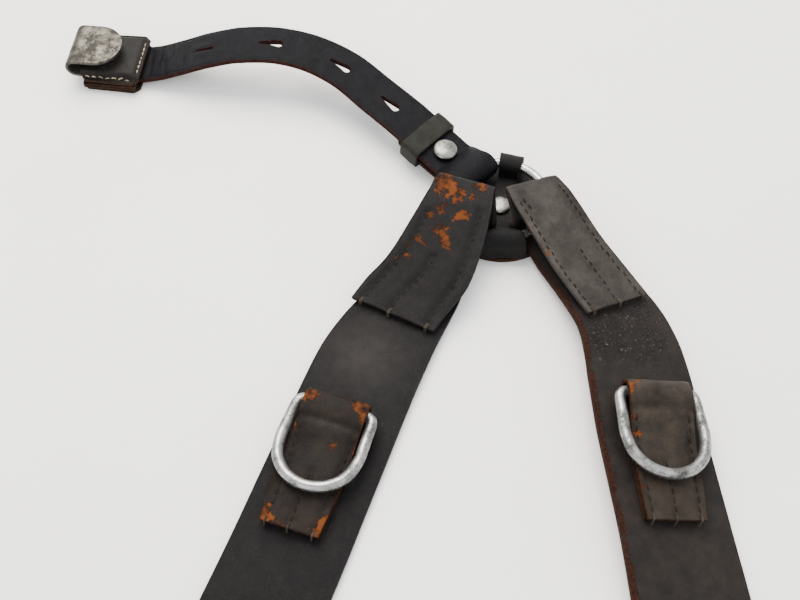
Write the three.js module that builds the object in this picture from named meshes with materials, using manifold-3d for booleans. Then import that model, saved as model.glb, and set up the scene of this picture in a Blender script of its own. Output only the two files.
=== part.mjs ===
// Leather equipment Y-suspenders: three straps looped on a steel ring that is held on a
// round leather back pad. Millimetres, +Z up. The origin is the centre of the pad's underside;
// the rear strap runs to -X, the two shoulder straps run to -Y.
import * as THREE from "three";
import { mergeVertices } from "three/addons/utils/BufferGeometryUtils.js";
import Module from "manifold-3d";

const wasm = await Module();
wasm.setup();

// ---- driving dimensions -------------------------------------------------------------------
const PAD_RADIUS = 28;
const PAD_THICK = 2.4;
const RING_RADIUS = 21;          // centre line of the round ring
const RING_WIRE = 4.2;
const RING_Z = 9.2;
const STRAP_THICK = 2.6;
const STRIP_THICK = 1.8;
const CHAPE_THICK = 2.0;
const KEEPER_THICK = 1.6;
const GAP = 0.3;

const SHOULDER_WIDTH = 45;
const NARROW_WIDTH = 22;
const LOOP_WIDTH = 20;
const LEFT_ANGLE = 220;          // where each loop sits on the ring, degrees
const RIGHT_ANGLE = 320;
const REAR_ANGLE = 132;

const DRING_HALF_WIDTH = 16.3;
const DRING_DEPTH = 35.6;
const DRING_WIRE = 4.6;

const HOOK_THICK = 1.8;
const HOOK_WIDTH = 25;
const HOOK_GAP = 6.4;            // clear space under the hook's tongue
const PATCH_WIDTH = 33;
const PATCH_THICK = 1.8;

const STUD_HEAD_RADIUS = 5.4;
const STUD_SHANK_RADIUS = 1.9;
const FRONT_BAR_Y = -588;
const FRONT_LOW = 3.9;           // height of the turned-under end at the front hooks
const LEFT_FRONT_X = -150;
const RIGHT_FRONT_X = 70;
const REAR_STUD = 15.5;            // distance of the stud from the ring along the rear strap

// ---- helpers ------------------------------------------------------------------------------
const rad = THREE.MathUtils.degToRad;
const vec = (x, y, z) => new THREE.Vector3(x, y, z);

function toSolid(geometry) {
  const bare = geometry.clone();
  for (const name of Object.keys(bare.attributes)) {
    if (name !== "position") bare.deleteAttribute(name);
  }
  const merged = mergeVertices(bare, 1e-4);
  return new wasm.Manifold(new wasm.Mesh({
    numProp: 3,
    vertProperties: new Float32Array(merged.attributes.position.array),
    triVerts: new Uint32Array(merged.index.array),
  }));
}

function toGeometry(solid) {
  const mesh = solid.getMesh();
  const geometry = new THREE.BufferGeometry();
  geometry.setAttribute("position", new THREE.BufferAttribute(mesh.vertProperties, 3));
  geometry.setIndex(new THREE.BufferAttribute(mesh.triVerts, 1));
  geometry.computeVertexNormals();
  return geometry;
}

function cut(geometry, ...cutters) {
  let solid = toSolid(geometry);
  for (const cutter of cutters) solid = solid.subtract(toSolid(cutter));
  return toGeometry(solid);
}

function join(geometry, ...others) {
  let solid = toSolid(geometry);
  for (const other of others) solid = solid.add(toSolid(other));
  return toGeometry(solid);
}

function extrude(shape, depth, curveSegments = 6) {
  return new THREE.ExtrudeGeometry(shape, { depth, bevelEnabled: false, curveSegments });
}

function circlePoint(radius, degrees, z) {
  return vec(radius * Math.cos(rad(degrees)), radius * Math.sin(rad(degrees)), z);
}

// A path through knots [x, y, z, width, heading, bank]. Heading is the direction of the
// strap's width in plan, and bank lifts the end it points to. Returns a frame at a knot index.
function strapPath(knots) {
  const line = new THREE.CatmullRomCurve3(knots.map((k) => vec(k[0], k[1], k[2])));
  const lie = new THREE.CatmullRomCurve3(knots.map((k) => vec(k[3], k[4], k[5] ?? 0)));
  const last = knots.length - 1;
  return (index) => {
    const t = THREE.MathUtils.clamp(index / last, 0, 1);
    const point = line.getPoint(t);
    const along = line.getTangent(t);
    const { x: width, y: heading, z: bank } = lie.getPoint(t);
    const flat = Math.cos(rad(bank));
    const across = vec(Math.cos(rad(heading)) * flat, Math.sin(rad(heading)) * flat, Math.sin(rad(bank)));
    const up = along.clone().cross(across).normalize();
    return { point, along, across, up, width };
  };
}

// A flat strap: a box bent along a path.
function bentStrap(knots, thick, stepsPerKnot = 3) {
  const path = strapPath(knots);
  const steps = (knots.length - 1) * stepsPerKnot;
  const geometry = new THREE.BoxGeometry(1, 1, 1, steps, 1, 1);
  const position = geometry.attributes.position;
  for (let i = 0; i < position.count; i += 1) {
    const step = Math.round((position.getX(i) + 0.5) * steps);
    const frame = path(step / stepsPerKnot);
    const p = frame.point
      .addScaledVector(frame.across, position.getY(i) * frame.width)
      .addScaledVector(frame.up, position.getZ(i) * thick);
    position.setXYZ(i, p.x, p.y, p.z);
  }
  return geometry;
}

// Right-handed placement from a strap frame: Y along, Z up, X squared off against both.
function frameMatrix(point, along, up) {
  return new THREE.Matrix4().makeBasis(along.clone().cross(up), along, up).setPosition(point);
}

// A round wire bent along a closed curve: a torus whose core is moved onto the curve.
function wireRing(curve, wire, around, sides, normal) {
  const geometry = new THREE.TorusGeometry(1, 0.3, sides, around);
  const { position, uv } = geometry.attributes;
  for (let i = 0; i < position.count; i += 1) {
    const t = uv.getX(i) % 1;
    const turn = uv.getY(i) * Math.PI * 2;
    const out = curve.getTangentAt(t).cross(normal).normalize();
    const p = curve.getPointAt(t)
      .addScaledVector(out, Math.cos(turn) * wire / 2)
      .addScaledVector(normal, Math.sin(turn) * wire / 2);
    position.setXYZ(i, p.x, p.y, p.z);
  }
  return geometry;
}

// Keyhole for a stud: a round end and a slit, as a prism through the leather along local Z.
function keyhole(slit) {
  const shape = new THREE.Shape();
  shape.absarc(0, 0, STUD_SHANK_RADIUS + 0.7, rad(110), rad(70 + 360), false);
  shape.lineTo(0.8, slit);
  shape.lineTo(-0.8, slit);
  shape.closePath();
  return extrude(shape, 12, 6).translate(0, 0, -6);
}

function studHole() {
  const hole = new THREE.CylinderGeometry(STUD_SHANK_RADIUS + 0.3, STUD_SHANK_RADIUS + 0.3, 8, 16);
  return hole.rotateX(Math.PI / 2);
}

function studRecess() {
  return new THREE.CylinderGeometry(4.2, 4.2, 1.8, 20).rotateX(Math.PI / 2)
    .translate(0, 0, -STRAP_THICK / 2);
}

// Stud: a flange under the lower layer, a shank and a domed head. Local Z = 0 is the middle
// of the lower layer; headZ is the underside of the head.
function stud(headZ) {
  const bottom = -STRAP_THICK / 2 + 0.05;
  const r = STUD_HEAD_RADIUS;
  const profile = [[0, bottom], [3.9, bottom], [3.9, bottom + 0.6], [STUD_SHANK_RADIUS, bottom + 0.6],
    [STUD_SHANK_RADIUS, headZ], [r - 0.4, headZ], [r, headZ + 0.5], [r * 0.86, headZ + 1.5],
    [r * 0.55, headZ + 2.3], [0, headZ + 2.6]];
  return new THREE.LatheGeometry(profile.map(([x, y]) => new THREE.Vector2(x, y)), 18)
    .rotateX(Math.PI / 2);
}

// Keeper: a flat band closed round a strap stack. Local X is across, Y along, Z up.
function keeper(stackWidth, low, high, length) {
  const inner = { x: stackWidth / 2 + 0.5, low: low - 0.35, high: high + 0.35 };
  const outline = (grow, corner) => {
    const x = inner.x + grow;
    const bottom = inner.low - grow;
    const top = inner.high + grow;
    const shape = new THREE.Shape();
    shape.moveTo(-x + corner, bottom);
    shape.lineTo(x - corner, bottom);
    shape.quadraticCurveTo(x, bottom, x, bottom + corner);
    shape.lineTo(x, top - corner);
    shape.quadraticCurveTo(x, top, x - corner, top);
    shape.lineTo(-x + corner, top);
    shape.quadraticCurveTo(-x, top, -x, top - corner);
    shape.lineTo(-x, bottom + corner);
    shape.quadraticCurveTo(-x, bottom, -x + corner, bottom);
    return shape;
  };
  const outer = outline(KEEPER_THICK, 1.8);
  outer.holes.push(outline(0, 0.4));
  return extrude(outer, length, 3).rotateX(Math.PI / 2).translate(0, length / 2, 0);
}

// Belt hook seen from the side: base plate, half-round bend and a tongue that returns above it.
// Local Y runs from the base's free end (0) to the bend, Z is up and X across.
function hookBody(base, tongue) {
  const inner = HOOK_GAP / 2;
  const outer = inner + HOOK_THICK;
  const side = new THREE.Shape();
  side.moveTo(0, 0);
  side.lineTo(base, 0);
  side.absarc(base, outer, outer, rad(-90), rad(90), false);
  side.lineTo(base - tongue, outer * 2);
  side.lineTo(base - tongue, outer * 2 - HOOK_THICK);
  side.lineTo(base, outer * 2 - HOOK_THICK);
  side.absarc(base, outer, inner, rad(90), rad(-90), true);
  side.lineTo(0, HOOK_THICK);
  side.closePath();
  const body = extrude(side, HOOK_WIDTH, 8).translate(0, 0, -HOOK_WIDTH / 2)
    .applyMatrix4(new THREE.Matrix4().makeBasis(vec(0, 1, 0), vec(0, 0, 1), vec(1, 0, 0)));
  const tip = base - tongue;
  const corner = new THREE.Shape();
  corner.moveTo(-HOOK_WIDTH, tip - 1);
  corner.lineTo(HOOK_WIDTH, tip - 1);
  corner.lineTo(HOOK_WIDTH, tip + HOOK_WIDTH / 2);
  corner.lineTo(HOOK_WIDTH / 2, tip + HOOK_WIDTH / 2);
  corner.absellipse(0, tip + HOOK_WIDTH / 2, HOOK_WIDTH / 2, HOOK_WIDTH / 2, 0, -Math.PI, true, 0);
  corner.lineTo(-HOOK_WIDTH, tip + HOOK_WIDTH / 2);
  corner.closePath();
  return cut(body, extrude(corner, 4, 8).translate(0, 0, outer * 2 - HOOK_THICK - 1));
}

function octagonPatch(length, width, chamfer) {
  const shape = new THREE.Shape();
  const w = width / 2;
  shape.moveTo(0, -w + chamfer);
  shape.lineTo(chamfer, -w);
  shape.lineTo(length - chamfer, -w + 1);
  shape.lineTo(length, -w + 1 + chamfer);
  shape.lineTo(length, w - 1 - chamfer);
  shape.lineTo(length - chamfer, w - 1);
  shape.lineTo(chamfer, w);
  shape.lineTo(0, w - chamfer);
  shape.closePath();
  return shape;
}

// ---- materials ----------------------------------------------------------------------------
function metal(name, color, roughness) {
  return new THREE.MeshStandardMaterial({ name, color, roughness, metalness: 1 });
}
function leather(name, color, roughness) {
  return new THREE.MeshStandardMaterial({ name, color, roughness, metalness: 0 });
}

const part = new THREE.Group();
function add(name, geometry, material, matrix) {
  const mesh = new THREE.Mesh(geometry, material);
  mesh.name = name;
  if (matrix) mesh.applyMatrix4(matrix);
  part.add(mesh);
}

// ---- back pad, ring and the strip that holds the ring --------------------------------------
const padDisc = new THREE.CylinderGeometry(PAD_RADIUS, PAD_RADIUS, PAD_THICK, 64)
  .rotateX(Math.PI / 2).translate(0, 0, PAD_THICK / 2);
const rivetHole = new THREE.CylinderGeometry(1.9, 1.9, 8, 16).rotateX(Math.PI / 2).translate(0, 0, 4.6);
add("back_pad", cut(padDisc, rivetHole), leather("pad_leather", 0x17140f, 0.7));

const stripTop = RING_Z + RING_WIRE / 2 + GAP + STRIP_THICK / 2 + 0.1;
const stripLow = PAD_THICK + GAP + 0.05 + STRIP_THICK / 2;
// Profile of the strip over the wire: [distance from the ring's centre, height].
const overWire = [
  [27, stripLow], [25.6, stripLow + 0.4], [24.75, RING_Z - 2.6], [24.5, RING_Z + 0.4],
  [23.5, stripTop - 0.9], [21, stripTop + 0.15], [18.4, stripTop - 0.9], [17.4, RING_Z + 0.5],
  [17.1, RING_Z - 2.6], [16.2, stripLow + 0.4], [14.2, stripLow]];
// The tail leaves the wire at a gentler slope, down to the pad's rim.
const overTail = [
  [27.7, stripLow], [26.9, stripLow + 0.9], [26.1, stripLow + 3.0], [25.2, RING_Z + 0.6],
  [23.7, stripTop - 0.8], ...overWire.slice(5)];
const tabWidths = [11, 11, 11, 11, 11, 10.5, 9.5, 9, 8.8, 8.6, 9];
const tailWidths = [20.6, 20.2, 19.6, 19, 18.4, 17, 8, 5.6, 5.6, 5.6, 6.4];
const stripKnots = [
  ...overWire.map(([r, z], i) => [r * Math.cos(rad(75)), r * Math.sin(rad(75)), z, tabWidths[i], -15]),
  [1.2, 6, stripLow, 10, -8], [0, 0, stripLow, 11, 0], [0, -6, stripLow, 9.5, 0],
  ...overTail.map(([r, z], i) => [0, -r, z, tailWidths[i], 0]).reverse()];
const ringStrip = cut(bentStrap(stripKnots, STRIP_THICK, 2), rivetHole);
add("ring_strip", ringStrip, leather("strip_leather", 0x191510, 0.7));

// Rivet from its foot inside the pad to the domed head on the strip.
const RIVET_FOOT = 0.9;
const RIVET_SHANK_RADIUS = 1.6;
const stripFace = stripLow + STRIP_THICK / 2;
const rivetProfile = [
  [0, RIVET_FOOT], [RIVET_SHANK_RADIUS, RIVET_FOOT], [RIVET_SHANK_RADIUS, stripFace + GAP],
  [4.5, stripFace + GAP], [4.7, stripFace + 1.4], [4.1, stripFace + 2.6], [2.4, stripFace + 3.3],
  [0, stripFace + 3.5]];
add("pad_rivet", new THREE.LatheGeometry(rivetProfile.map(([x, y]) => new THREE.Vector2(x, y)), 24)
  .rotateX(Math.PI / 2), metal("rivet_metal", 0xb9b9b4, 0.35));

add("o_ring", new THREE.TorusGeometry(RING_RADIUS, RING_WIRE / 2, 10, 52).translate(0, 0, RING_Z),
  metal("ring_metal", 0xc2c3c2, 0.25));

// ---- shoulder straps -----------------------------------------------------------------------
// Each strap is drawn from the sewn end of its turned-over tab, up to the ring, through it,
// and back below the tab to the front. The second list starts at the fold line.
const LOW = PAD_THICK + GAP + 0.5 + STRAP_THICK / 2;
const under = (angle) => circlePoint(RING_RADIUS, angle, LOW);
const through = (angle, z) => circlePoint(13.9, angle, z);
const leftUnder = under(LEFT_ANGLE);
const rightUnder = under(RIGHT_ANGLE);
const leftThrough = through(LEFT_ANGLE, 8.6);
const rightThrough = through(RIGHT_ANGLE, 8.6);
const leftRise = circlePoint(13.2, LEFT_ANGLE, 14.0);
const rightRise = circlePoint(13.2, RIGHT_ANGLE, 14.0);
const leftLip = circlePoint(15.6, LEFT_ANGLE, LOW + 1.1);
const rightLip = circlePoint(15.6, RIGHT_ANGLE, LOW + 1.1);

const leftRear = [
  [-48.5, -58.5, 6.6, 38.5, -26], [-42, -49.5, 8.1, 38.5, -26], [-33.5, -40, 11.4, 37.5, -26],
  [-24.5, -22, 16.6, 33.5, -21],
  [-19, -8, 20.0, 29, -19], [-15.4, 1.6, 20.0, 25.5, -19], [-11.6, -3.2, 17.6, 21, -40],
  [leftRise.x, leftRise.y, leftRise.z, LOOP_WIDTH, LEFT_ANGLE - 270],
  [leftThrough.x, leftThrough.y, leftThrough.z, LOOP_WIDTH, LEFT_ANGLE - 270],
  [leftLip.x, leftLip.y, leftLip.z, LOOP_WIDTH, LEFT_ANGLE - 270],
  [leftUnder.x, leftUnder.y, leftUnder.z, LOOP_WIDTH + 1, LEFT_ANGLE - 269],
  [-24.5, -25.5, 4.3, 27, -41], [-34.5, -42.5, 3.8, 34, -31], [-49, -64, 3.1, 41.5, -25],
  [-57, -79, 2.5, 44.5, -22],
  [-63.5, -95, 2.2, SHOULDER_WIDTH, -20.3], [-71.5, -116.7, 2.0, SHOULDER_WIDTH, -20.3],
  [-79.5, -138.3, 1.8, SHOULDER_WIDTH, -20.3], [-87.5, -160, 1.6, SHOULDER_WIDTH, -20.3],
  [-98, -187, 1.5, SHOULDER_WIDTH, -20.5], [-111.4, -220.7, 1.5, SHOULDER_WIDTH, -20],
  [-115.5, -232, 1.5, SHOULDER_WIDTH, -20]];
const rightRear = [
  [46, -56.5, 11.9, 30, 25, -10], [39.5, -46, 12.9, 29, 29, -8], [30, -31, 15.2, 27.5, 33, -5],
  [21, -15, 18.8, 26, 30, 0],
  [15.6, -5, 20.0, 25, 20, 0], [12.2, 1.2, 19.4, 23, 17, 0], [10.8, -3.8, 17.2, 20, 41, 0],
  [rightRise.x, rightRise.y, rightRise.z, LOOP_WIDTH, RIGHT_ANGLE - 270, 0],
  [rightThrough.x, rightThrough.y, rightThrough.z, LOOP_WIDTH, RIGHT_ANGLE - 270, 0],
  [rightLip.x, rightLip.y, rightLip.z, LOOP_WIDTH, RIGHT_ANGLE - 270, 0],
  [rightUnder.x, rightUnder.y, rightUnder.z, LOOP_WIDTH + 1, RIGHT_ANGLE - 271, 0],
  [24.5, -25, 4.6, 26, 43, -1], [34.8, -40, 6.2, 31.5, 33, -5], [46, -60, 8.1, 38, 21, -9],
  [50.2, -75, 8.3, 42, 11, -10], [51.9, -90, 8.2, 44, 6.3, -10.5],
  [53.7, -111.7, 7.8, SHOULDER_WIDTH, 6.3, -11],
  [56.1, -133.3, 7.3, SHOULDER_WIDTH, 6.3, -11], [58.5, -155, 6.8, SHOULDER_WIDTH, 6.3, -11],
  [61.4, -183, 4.4, SHOULDER_WIDTH, 5, -6], [64.6, -220, 1.6, SHOULDER_WIDTH, 3, 0],
  [65.2, -232, 1.5, SHOULDER_WIDTH, 3, 0]];

// The narrow front end: it passes over the hook's bar, back below itself and ends there.
function frontEnd(x) {
  const w = NARROW_WIDTH;
  const y = FRONT_BAR_Y;
  const low = FRONT_LOW;
  return [[x, y + 150, 1.5, SHOULDER_WIDTH, 0], [x, y + 118, 1.5, 42, 0], [x, y + 95, 1.8, 30, 0],
    [x, y + 78, 3.4, w + 1, 0], [x, y + 64, 6.4, w, 0], [x, y + 52, low + 3.5, w, 0],
    [x, y + 32, low + 3.5, w, 0], [x, y + 18, low + 3.5, w, 0], [x, y + 8, low + 4.6, w, 0],
    [x, y + 1, low + 6.7, w, 0], [x, y - 3.4, low + 5.7, w, 0],
    [x, y - 4.9, low + 3.2, w, 0], [x, y - 3.4, low + 0.7, w, 0], [x, y, low, w, 0], [x, y + 18, low, w, 0],
    [x, y + 32, low, w, 0], [x, y + 46, low, w - 2, 0], [x, y + 49, low, w - 9, 0]];
}
const leftFront = [
  [-115.6, -232.3, 1.5, SHOULDER_WIDTH, -20], [-119.6, -243.3, 1.5, SHOULDER_WIDTH, -20],
  [-134, -288, 1.5, SHOULDER_WIDTH, -15],
  [-146, -345, 1.5, SHOULDER_WIDTH, -7], [-150, -395, 1.5, SHOULDER_WIDTH, 0], ...frontEnd(LEFT_FRONT_X)];
const rightFront = [
  [65.2, -232.3, 1.5, SHOULDER_WIDTH, 3], [65.8, -244, 1.5, SHOULDER_WIDTH, 3],
  [68, -290, 1.5, SHOULDER_WIDTH, 2],
  [69.6, -345, 1.5, SHOULDER_WIDTH, 1], [70, -395, 1.5, SHOULDER_WIDTH, 0], ...frontEnd(RIGHT_FRONT_X)];

const FRONT_STUD = FRONT_BAR_Y + 18;
const at = (geometry, x, y, z) => geometry.applyMatrix4(new THREE.Matrix4().makeTranslation(x, y, z));
function frontStrap(knots, x) {
  const slots = [0, 38, 56, 74].map((d) => at(keyhole(8.5), x, FRONT_STUD + d, FRONT_LOW + 7));
  return cut(bentStrap(knots, STRAP_THICK, 3), ...slots, at(studHole(), x, FRONT_STUD, FRONT_LOW),
    at(studRecess(), x, FRONT_STUD, FRONT_LOW));
}
const blackLeather = leather("strap_leather", 0x16130f, 0.55);
add("left_strap_rear", bentStrap(leftRear, STRAP_THICK, 3), blackLeather.clone());
add("right_strap_rear", bentStrap(rightRear, STRAP_THICK, 3), blackLeather.clone());
add("left_strap_front", frontStrap(leftFront, LEFT_FRONT_X), blackLeather.clone());
add("right_strap_front", frontStrap(rightFront, RIGHT_FRONT_X), blackLeather.clone());

// ---- front hooks, their studs and keepers --------------------------------------------------
function frontHook() {
  const plate = hookBody(40, 24);
  const head = new THREE.BoxGeometry(31, 18, HOOK_THICK).translate(0, 9, HOOK_THICK / 2);
  const slot = new THREE.BoxGeometry(23.6, 10, 6).translate(0, 8, HOOK_THICK / 2);
  return cut(join(plate, head), slot);
}
for (const [side, x] of [["left", LEFT_FRONT_X], ["right", RIGHT_FRONT_X]]) {
  const lay = new THREE.Matrix4().makeTranslation(x, FRONT_BAR_Y, FRONT_LOW + 3.2)
    .multiply(new THREE.Matrix4().makeRotationX(rad(7.8)))
    .multiply(new THREE.Matrix4().makeRotationZ(Math.PI))
    .multiply(new THREE.Matrix4().makeTranslation(0, -1.5, -HOOK_THICK / 2));
  add(`${side}_hook`, frontHook(), metal(`${side}_hook_metal`, 0x8d8d88, 0.5), lay);
  add(`${side}_stud`, stud(5.7), metal(`${side}_stud_metal`, 0xb9b9b4, 0.35),
    new THREE.Matrix4().makeTranslation(x, FRONT_STUD, FRONT_LOW));
  add(`${side}_keeper`, keeper(NARROW_WIDTH, -STRAP_THICK / 2, 3.5 + STRAP_THICK / 2, 10),
    leather(`${side}_keeper_leather`, 0x1c1d19, 0.6),
    new THREE.Matrix4().makeTranslation(x, FRONT_BAR_Y + 33, FRONT_LOW));
}

// ---- D-rings and their leather chapes ------------------------------------------------------
const dArc = [0, 30, 60, 90, 120, 150, 180].map((a) => [DRING_HALF_WIDTH * Math.cos(rad(a)),
  DRING_DEPTH - DRING_HALF_WIDTH + DRING_HALF_WIDTH * Math.sin(rad(a))]);
const dSide = [
  [0, 0], [6.5, 0], [12.6, 0], [14.2, 0.43], [15.37, 1.6], [15.8, 3.2], [16.05, 8.5], [16.25, 14]];
const dOtherSide = dSide.slice(1).reverse().map(([x, y]) => [-x, y]);
const dOutline = [...dSide, ...dArc, ...dOtherSide].map(([x, y]) => vec(x, y, 0));
const dCurve = new THREE.CatmullRomCurve3(dOutline, true);
const CHAPE_LOW = STRAP_THICK / 2 + 0.35 + CHAPE_THICK / 2;
const BAR_HEIGHT = STRAP_THICK / 2 + CHAPE_THICK + 0.85 + DRING_WIRE / 2;

// Chape in its own frame: X across, Y from the bar to the front, Z above the strap's middle.
const chapeKnots = [
  [0, 51.5, CHAPE_LOW, 24.5, 0], [0, 38, CHAPE_LOW, 26, 0], [0, 22, CHAPE_LOW, 26.6, 0],
  [0, 8, CHAPE_LOW, 26.6, 0],
  [0, 1.5, CHAPE_LOW, 26.6, 0], [0, -2.8, BAR_HEIGHT - 2.75, 26.6, 0], [0, -3.95, BAR_HEIGHT, 26.6, 0],
  [0, -2.8, BAR_HEIGHT + 2.75, 26.6, 0], [0, 0.6, BAR_HEIGHT + 3.85, 26.6, 0],
  [0, 7, BAR_HEIGHT + 2.9, 26.6, 0],
  [0, 14, BAR_HEIGHT + 0.4, 26.6, 0], [0, 21, CHAPE_LOW + 2.35, 26.6, 0], [0, 36, CHAPE_LOW + 2.3, 26, 0],
  [0, 52.5, CHAPE_LOW + 2.3, 24, 0]];
// The chape lies on the strap at a knot index, set over and turned a little by hand.
function chapeFrame(knots, index, over, yaw) {
  const f = strapPath(knots)(index);
  return frameMatrix(f.point, f.along, f.up)
    .multiply(new THREE.Matrix4().makeTranslation(over, 0, 0))
    .multiply(new THREE.Matrix4().makeRotationZ(rad(yaw)));
}
// The D-ring leans down from its bar, until its arc rests just above the chape's upper layer.
const chapeTop = CHAPE_LOW + 2.3 + CHAPE_THICK / 2;
const dLean = Math.atan2(chapeTop + GAP + DRING_WIRE / 2 - BAR_HEIGHT, DRING_DEPTH - 4);
const dRing = wireRing(dCurve, DRING_WIRE, 44, 10, vec(0, 0, 1)).rotateX(dLean).translate(0, 0, BAR_HEIGHT);
const CHAPE_KNOT = 15.44;
for (const [side, knots, over, yaw] of [["left", leftRear, 3.6, 1.6], ["right", rightRear, -2.6, -2]]) {
  const frame = chapeFrame(knots, CHAPE_KNOT, over, yaw);
  const chapeLeather = leather(`${side}_chape_leather`, 0x241a12, 0.65);
  add(`${side}_chape`, bentStrap(chapeKnots, CHAPE_THICK, 3), chapeLeather, frame);
  add(`${side}_d_ring`, dRing.clone(), metal(`${side}_d_ring_metal`, 0xb4b5b3, 0.3), frame);
}

// ---- rear strap ----------------------------------------------------------------------------
const rearUnder = circlePoint(RING_RADIUS, REAR_ANGLE, LOW);
const rearThrough = circlePoint(13.9, REAR_ANGLE, 8.8);
const rearLip = circlePoint(15.6, REAR_ANGLE, LOW + 1.1);
const REAR_HEADING = REAR_ANGLE - 90;
const stackDir = vec(-0.69, 0.724, 0).normalize();
const stack = (d, z) => [rearUnder.x + stackDir.x * d, rearUnder.y + stackDir.y * d, z];
const lowZ = (d) => LOW + 0.1 + 0.1 * d;
const topZ = (d) => lowZ(d) + 3.4;
const rearRing = [
  [...stack(38, lowZ(38)), NARROW_WIDTH - 8, 43.6], [...stack(35, lowZ(35)), NARROW_WIDTH - 1, 43.6],
  [...stack(25, lowZ(25)), NARROW_WIDTH, 43.6], [...stack(REAR_STUD, lowZ(REAR_STUD)), NARROW_WIDTH, 43.6],
  [...stack(6, lowZ(6)), NARROW_WIDTH - 1, 43],
  [rearUnder.x, rearUnder.y, rearUnder.z, LOOP_WIDTH, REAR_HEADING],
  [rearLip.x, rearLip.y, rearLip.z, LOOP_WIDTH, REAR_HEADING],
  [rearThrough.x, rearThrough.y, rearThrough.z, LOOP_WIDTH, REAR_HEADING],
  [-8.6, 11.2, 12.2, LOOP_WIDTH, REAR_HEADING + 2], [-11.6, 14.4, 13.9, 20.5, REAR_HEADING + 2],
  [...stack(2.5, 12.9), NARROW_WIDTH - 1, 43], [...stack(6, 11.1), NARROW_WIDTH, 43.6],
  [...stack(9.8, 9.2), NARROW_WIDTH, 43.6],
  [...stack(REAR_STUD, topZ(REAR_STUD)), NARROW_WIDTH, 43.6], [...stack(20, topZ(20)), NARROW_WIDTH, 43.6],
  [...stack(26.6, topZ(26.6)), NARROW_WIDTH, 43.6], [...stack(33, topZ(33)), NARROW_WIDTH, 43.6],
  [...stack(41, topZ(41)), NARROW_WIDTH, 44],
  [-56, 58.2, 13.8, NARROW_WIDTH, 49], [-71.5, 72, 16.4, NARROW_WIDTH, 59],
  [-88, 80.2, 19.0, NARROW_WIDTH, 73], [-104, 84, 20.2, NARROW_WIDTH, 83],
  [-116, 85, 19.8, NARROW_WIDTH, 87], [-120, 85.2, 19.4, NARROW_WIDTH, 87]];
const rearHook = [
  [-120.35, 85.2, 19.35, NARROW_WIDTH, 87], [-124, 85.35, 18.9, NARROW_WIDTH, 87],
  [-138, 85.6, 15.2, NARROW_WIDTH, 88],
  [-152, 86, 9.8, NARROW_WIDTH, 87], [-164, 86.9, 5.2, NARROW_WIDTH, 85], [-171, 87.6, 3.7, NARROW_WIDTH, 84],
  [-180, 88.55, 3.55, NARROW_WIDTH, 84], [-197, 90.3, 3.55, NARROW_WIDTH, 84]];

function slotAt(path, index, slit) {
  const f = path(index);
  const up = f.up.z < 0 ? f.up.clone().negate() : f.up;
  return keyhole(slit).applyMatrix4(frameMatrix(f.point, f.along, up));
}
const rearPath = strapPath(rearRing);
const hookPath = strapPath(rearHook);
const studFrame = rearPath(3);
const studUp = studFrame.up.z < 0 ? studFrame.up.clone().negate() : studFrame.up;
const lowerHole = frameMatrix(studFrame.point, studFrame.along, studUp);
const rearRingStrap = cut(bentStrap(rearRing, STRAP_THICK, 3),
  studHole().applyMatrix4(lowerHole), studRecess().applyMatrix4(lowerHole),
  slotAt(rearPath, 13, 8), slotAt(rearPath, 17.4, 9), slotAt(rearPath, 18.95, 9),
  slotAt(rearPath, 20.95, 9));
add("rear_strap_ring_end", rearRingStrap, blackLeather.clone());
const rearHookStrap = cut(bentStrap(rearHook, STRAP_THICK, 3), slotAt(hookPath, 1.85, 8));
add("rear_strap_hook_end", rearHookStrap, blackLeather.clone());
add("rear_stud", stud(6.0), metal("rear_stud_metal", 0xb9b9b4, 0.35), lowerHole);
const keeperFrame = strapPath(rearRing)(15);
const keeperUp = keeperFrame.up.z < 0 ? keeperFrame.up.clone().negate() : keeperFrame.up;
add("rear_keeper", keeper(NARROW_WIDTH, -3.4 - STRAP_THICK / 2, STRAP_THICK / 2, 10.4),
  leather("rear_keeper_leather", 0x1c1d19, 0.6),
  frameMatrix(keeperFrame.point, keeperFrame.along, keeperUp));

// ---- rear hook and its stitched patch ------------------------------------------------------
const patchTurn = rad(174);
const patchMatrix = (z) => new THREE.Matrix4().makeTranslation(-170.5, 87.55, z)
  .multiply(new THREE.Matrix4().makeRotationZ(patchTurn));
const patchLayer = () => extrude(octagonPatch(29, PATCH_WIDTH, 3), PATCH_THICK);
add("patch_bottom", patchLayer(), leather("patch_bottom_leather", 0x1b1611, 0.7), patchMatrix(0));
const plateZ = 3.55 + STRAP_THICK / 2 + GAP;
const hookMatrix = patchMatrix(plateZ)
  .multiply(new THREE.Matrix4().makeRotationZ(-Math.PI / 2))
  .multiply(new THREE.Matrix4().makeTranslation(0, 2, 0));
add("rear_hook", hookBody(29, 21), metal("rear_hook_metal", 0x8d8d88, 0.5), hookMatrix);
add("patch_top", patchLayer(), leather("patch_top_leather", 0x1b1611, 0.7),
  patchMatrix(plateZ + HOOK_THICK + GAP));

export default part;
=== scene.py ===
"""Looks of the leather Y-suspenders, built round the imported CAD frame.

Lengths inside this script are millimetres, as in the CAD, and become metres when a mesh is made.
"""

import math

import bpy
import numpy as np
from mathutils import Matrix, Vector, noise


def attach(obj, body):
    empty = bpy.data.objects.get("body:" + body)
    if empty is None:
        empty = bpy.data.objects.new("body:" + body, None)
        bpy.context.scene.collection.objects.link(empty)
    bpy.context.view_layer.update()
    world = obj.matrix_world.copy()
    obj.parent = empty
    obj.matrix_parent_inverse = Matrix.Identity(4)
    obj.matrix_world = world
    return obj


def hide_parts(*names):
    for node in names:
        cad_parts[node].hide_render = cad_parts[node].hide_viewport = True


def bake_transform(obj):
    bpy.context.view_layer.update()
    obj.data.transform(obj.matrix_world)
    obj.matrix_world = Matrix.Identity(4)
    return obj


MM = 0.001

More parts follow.
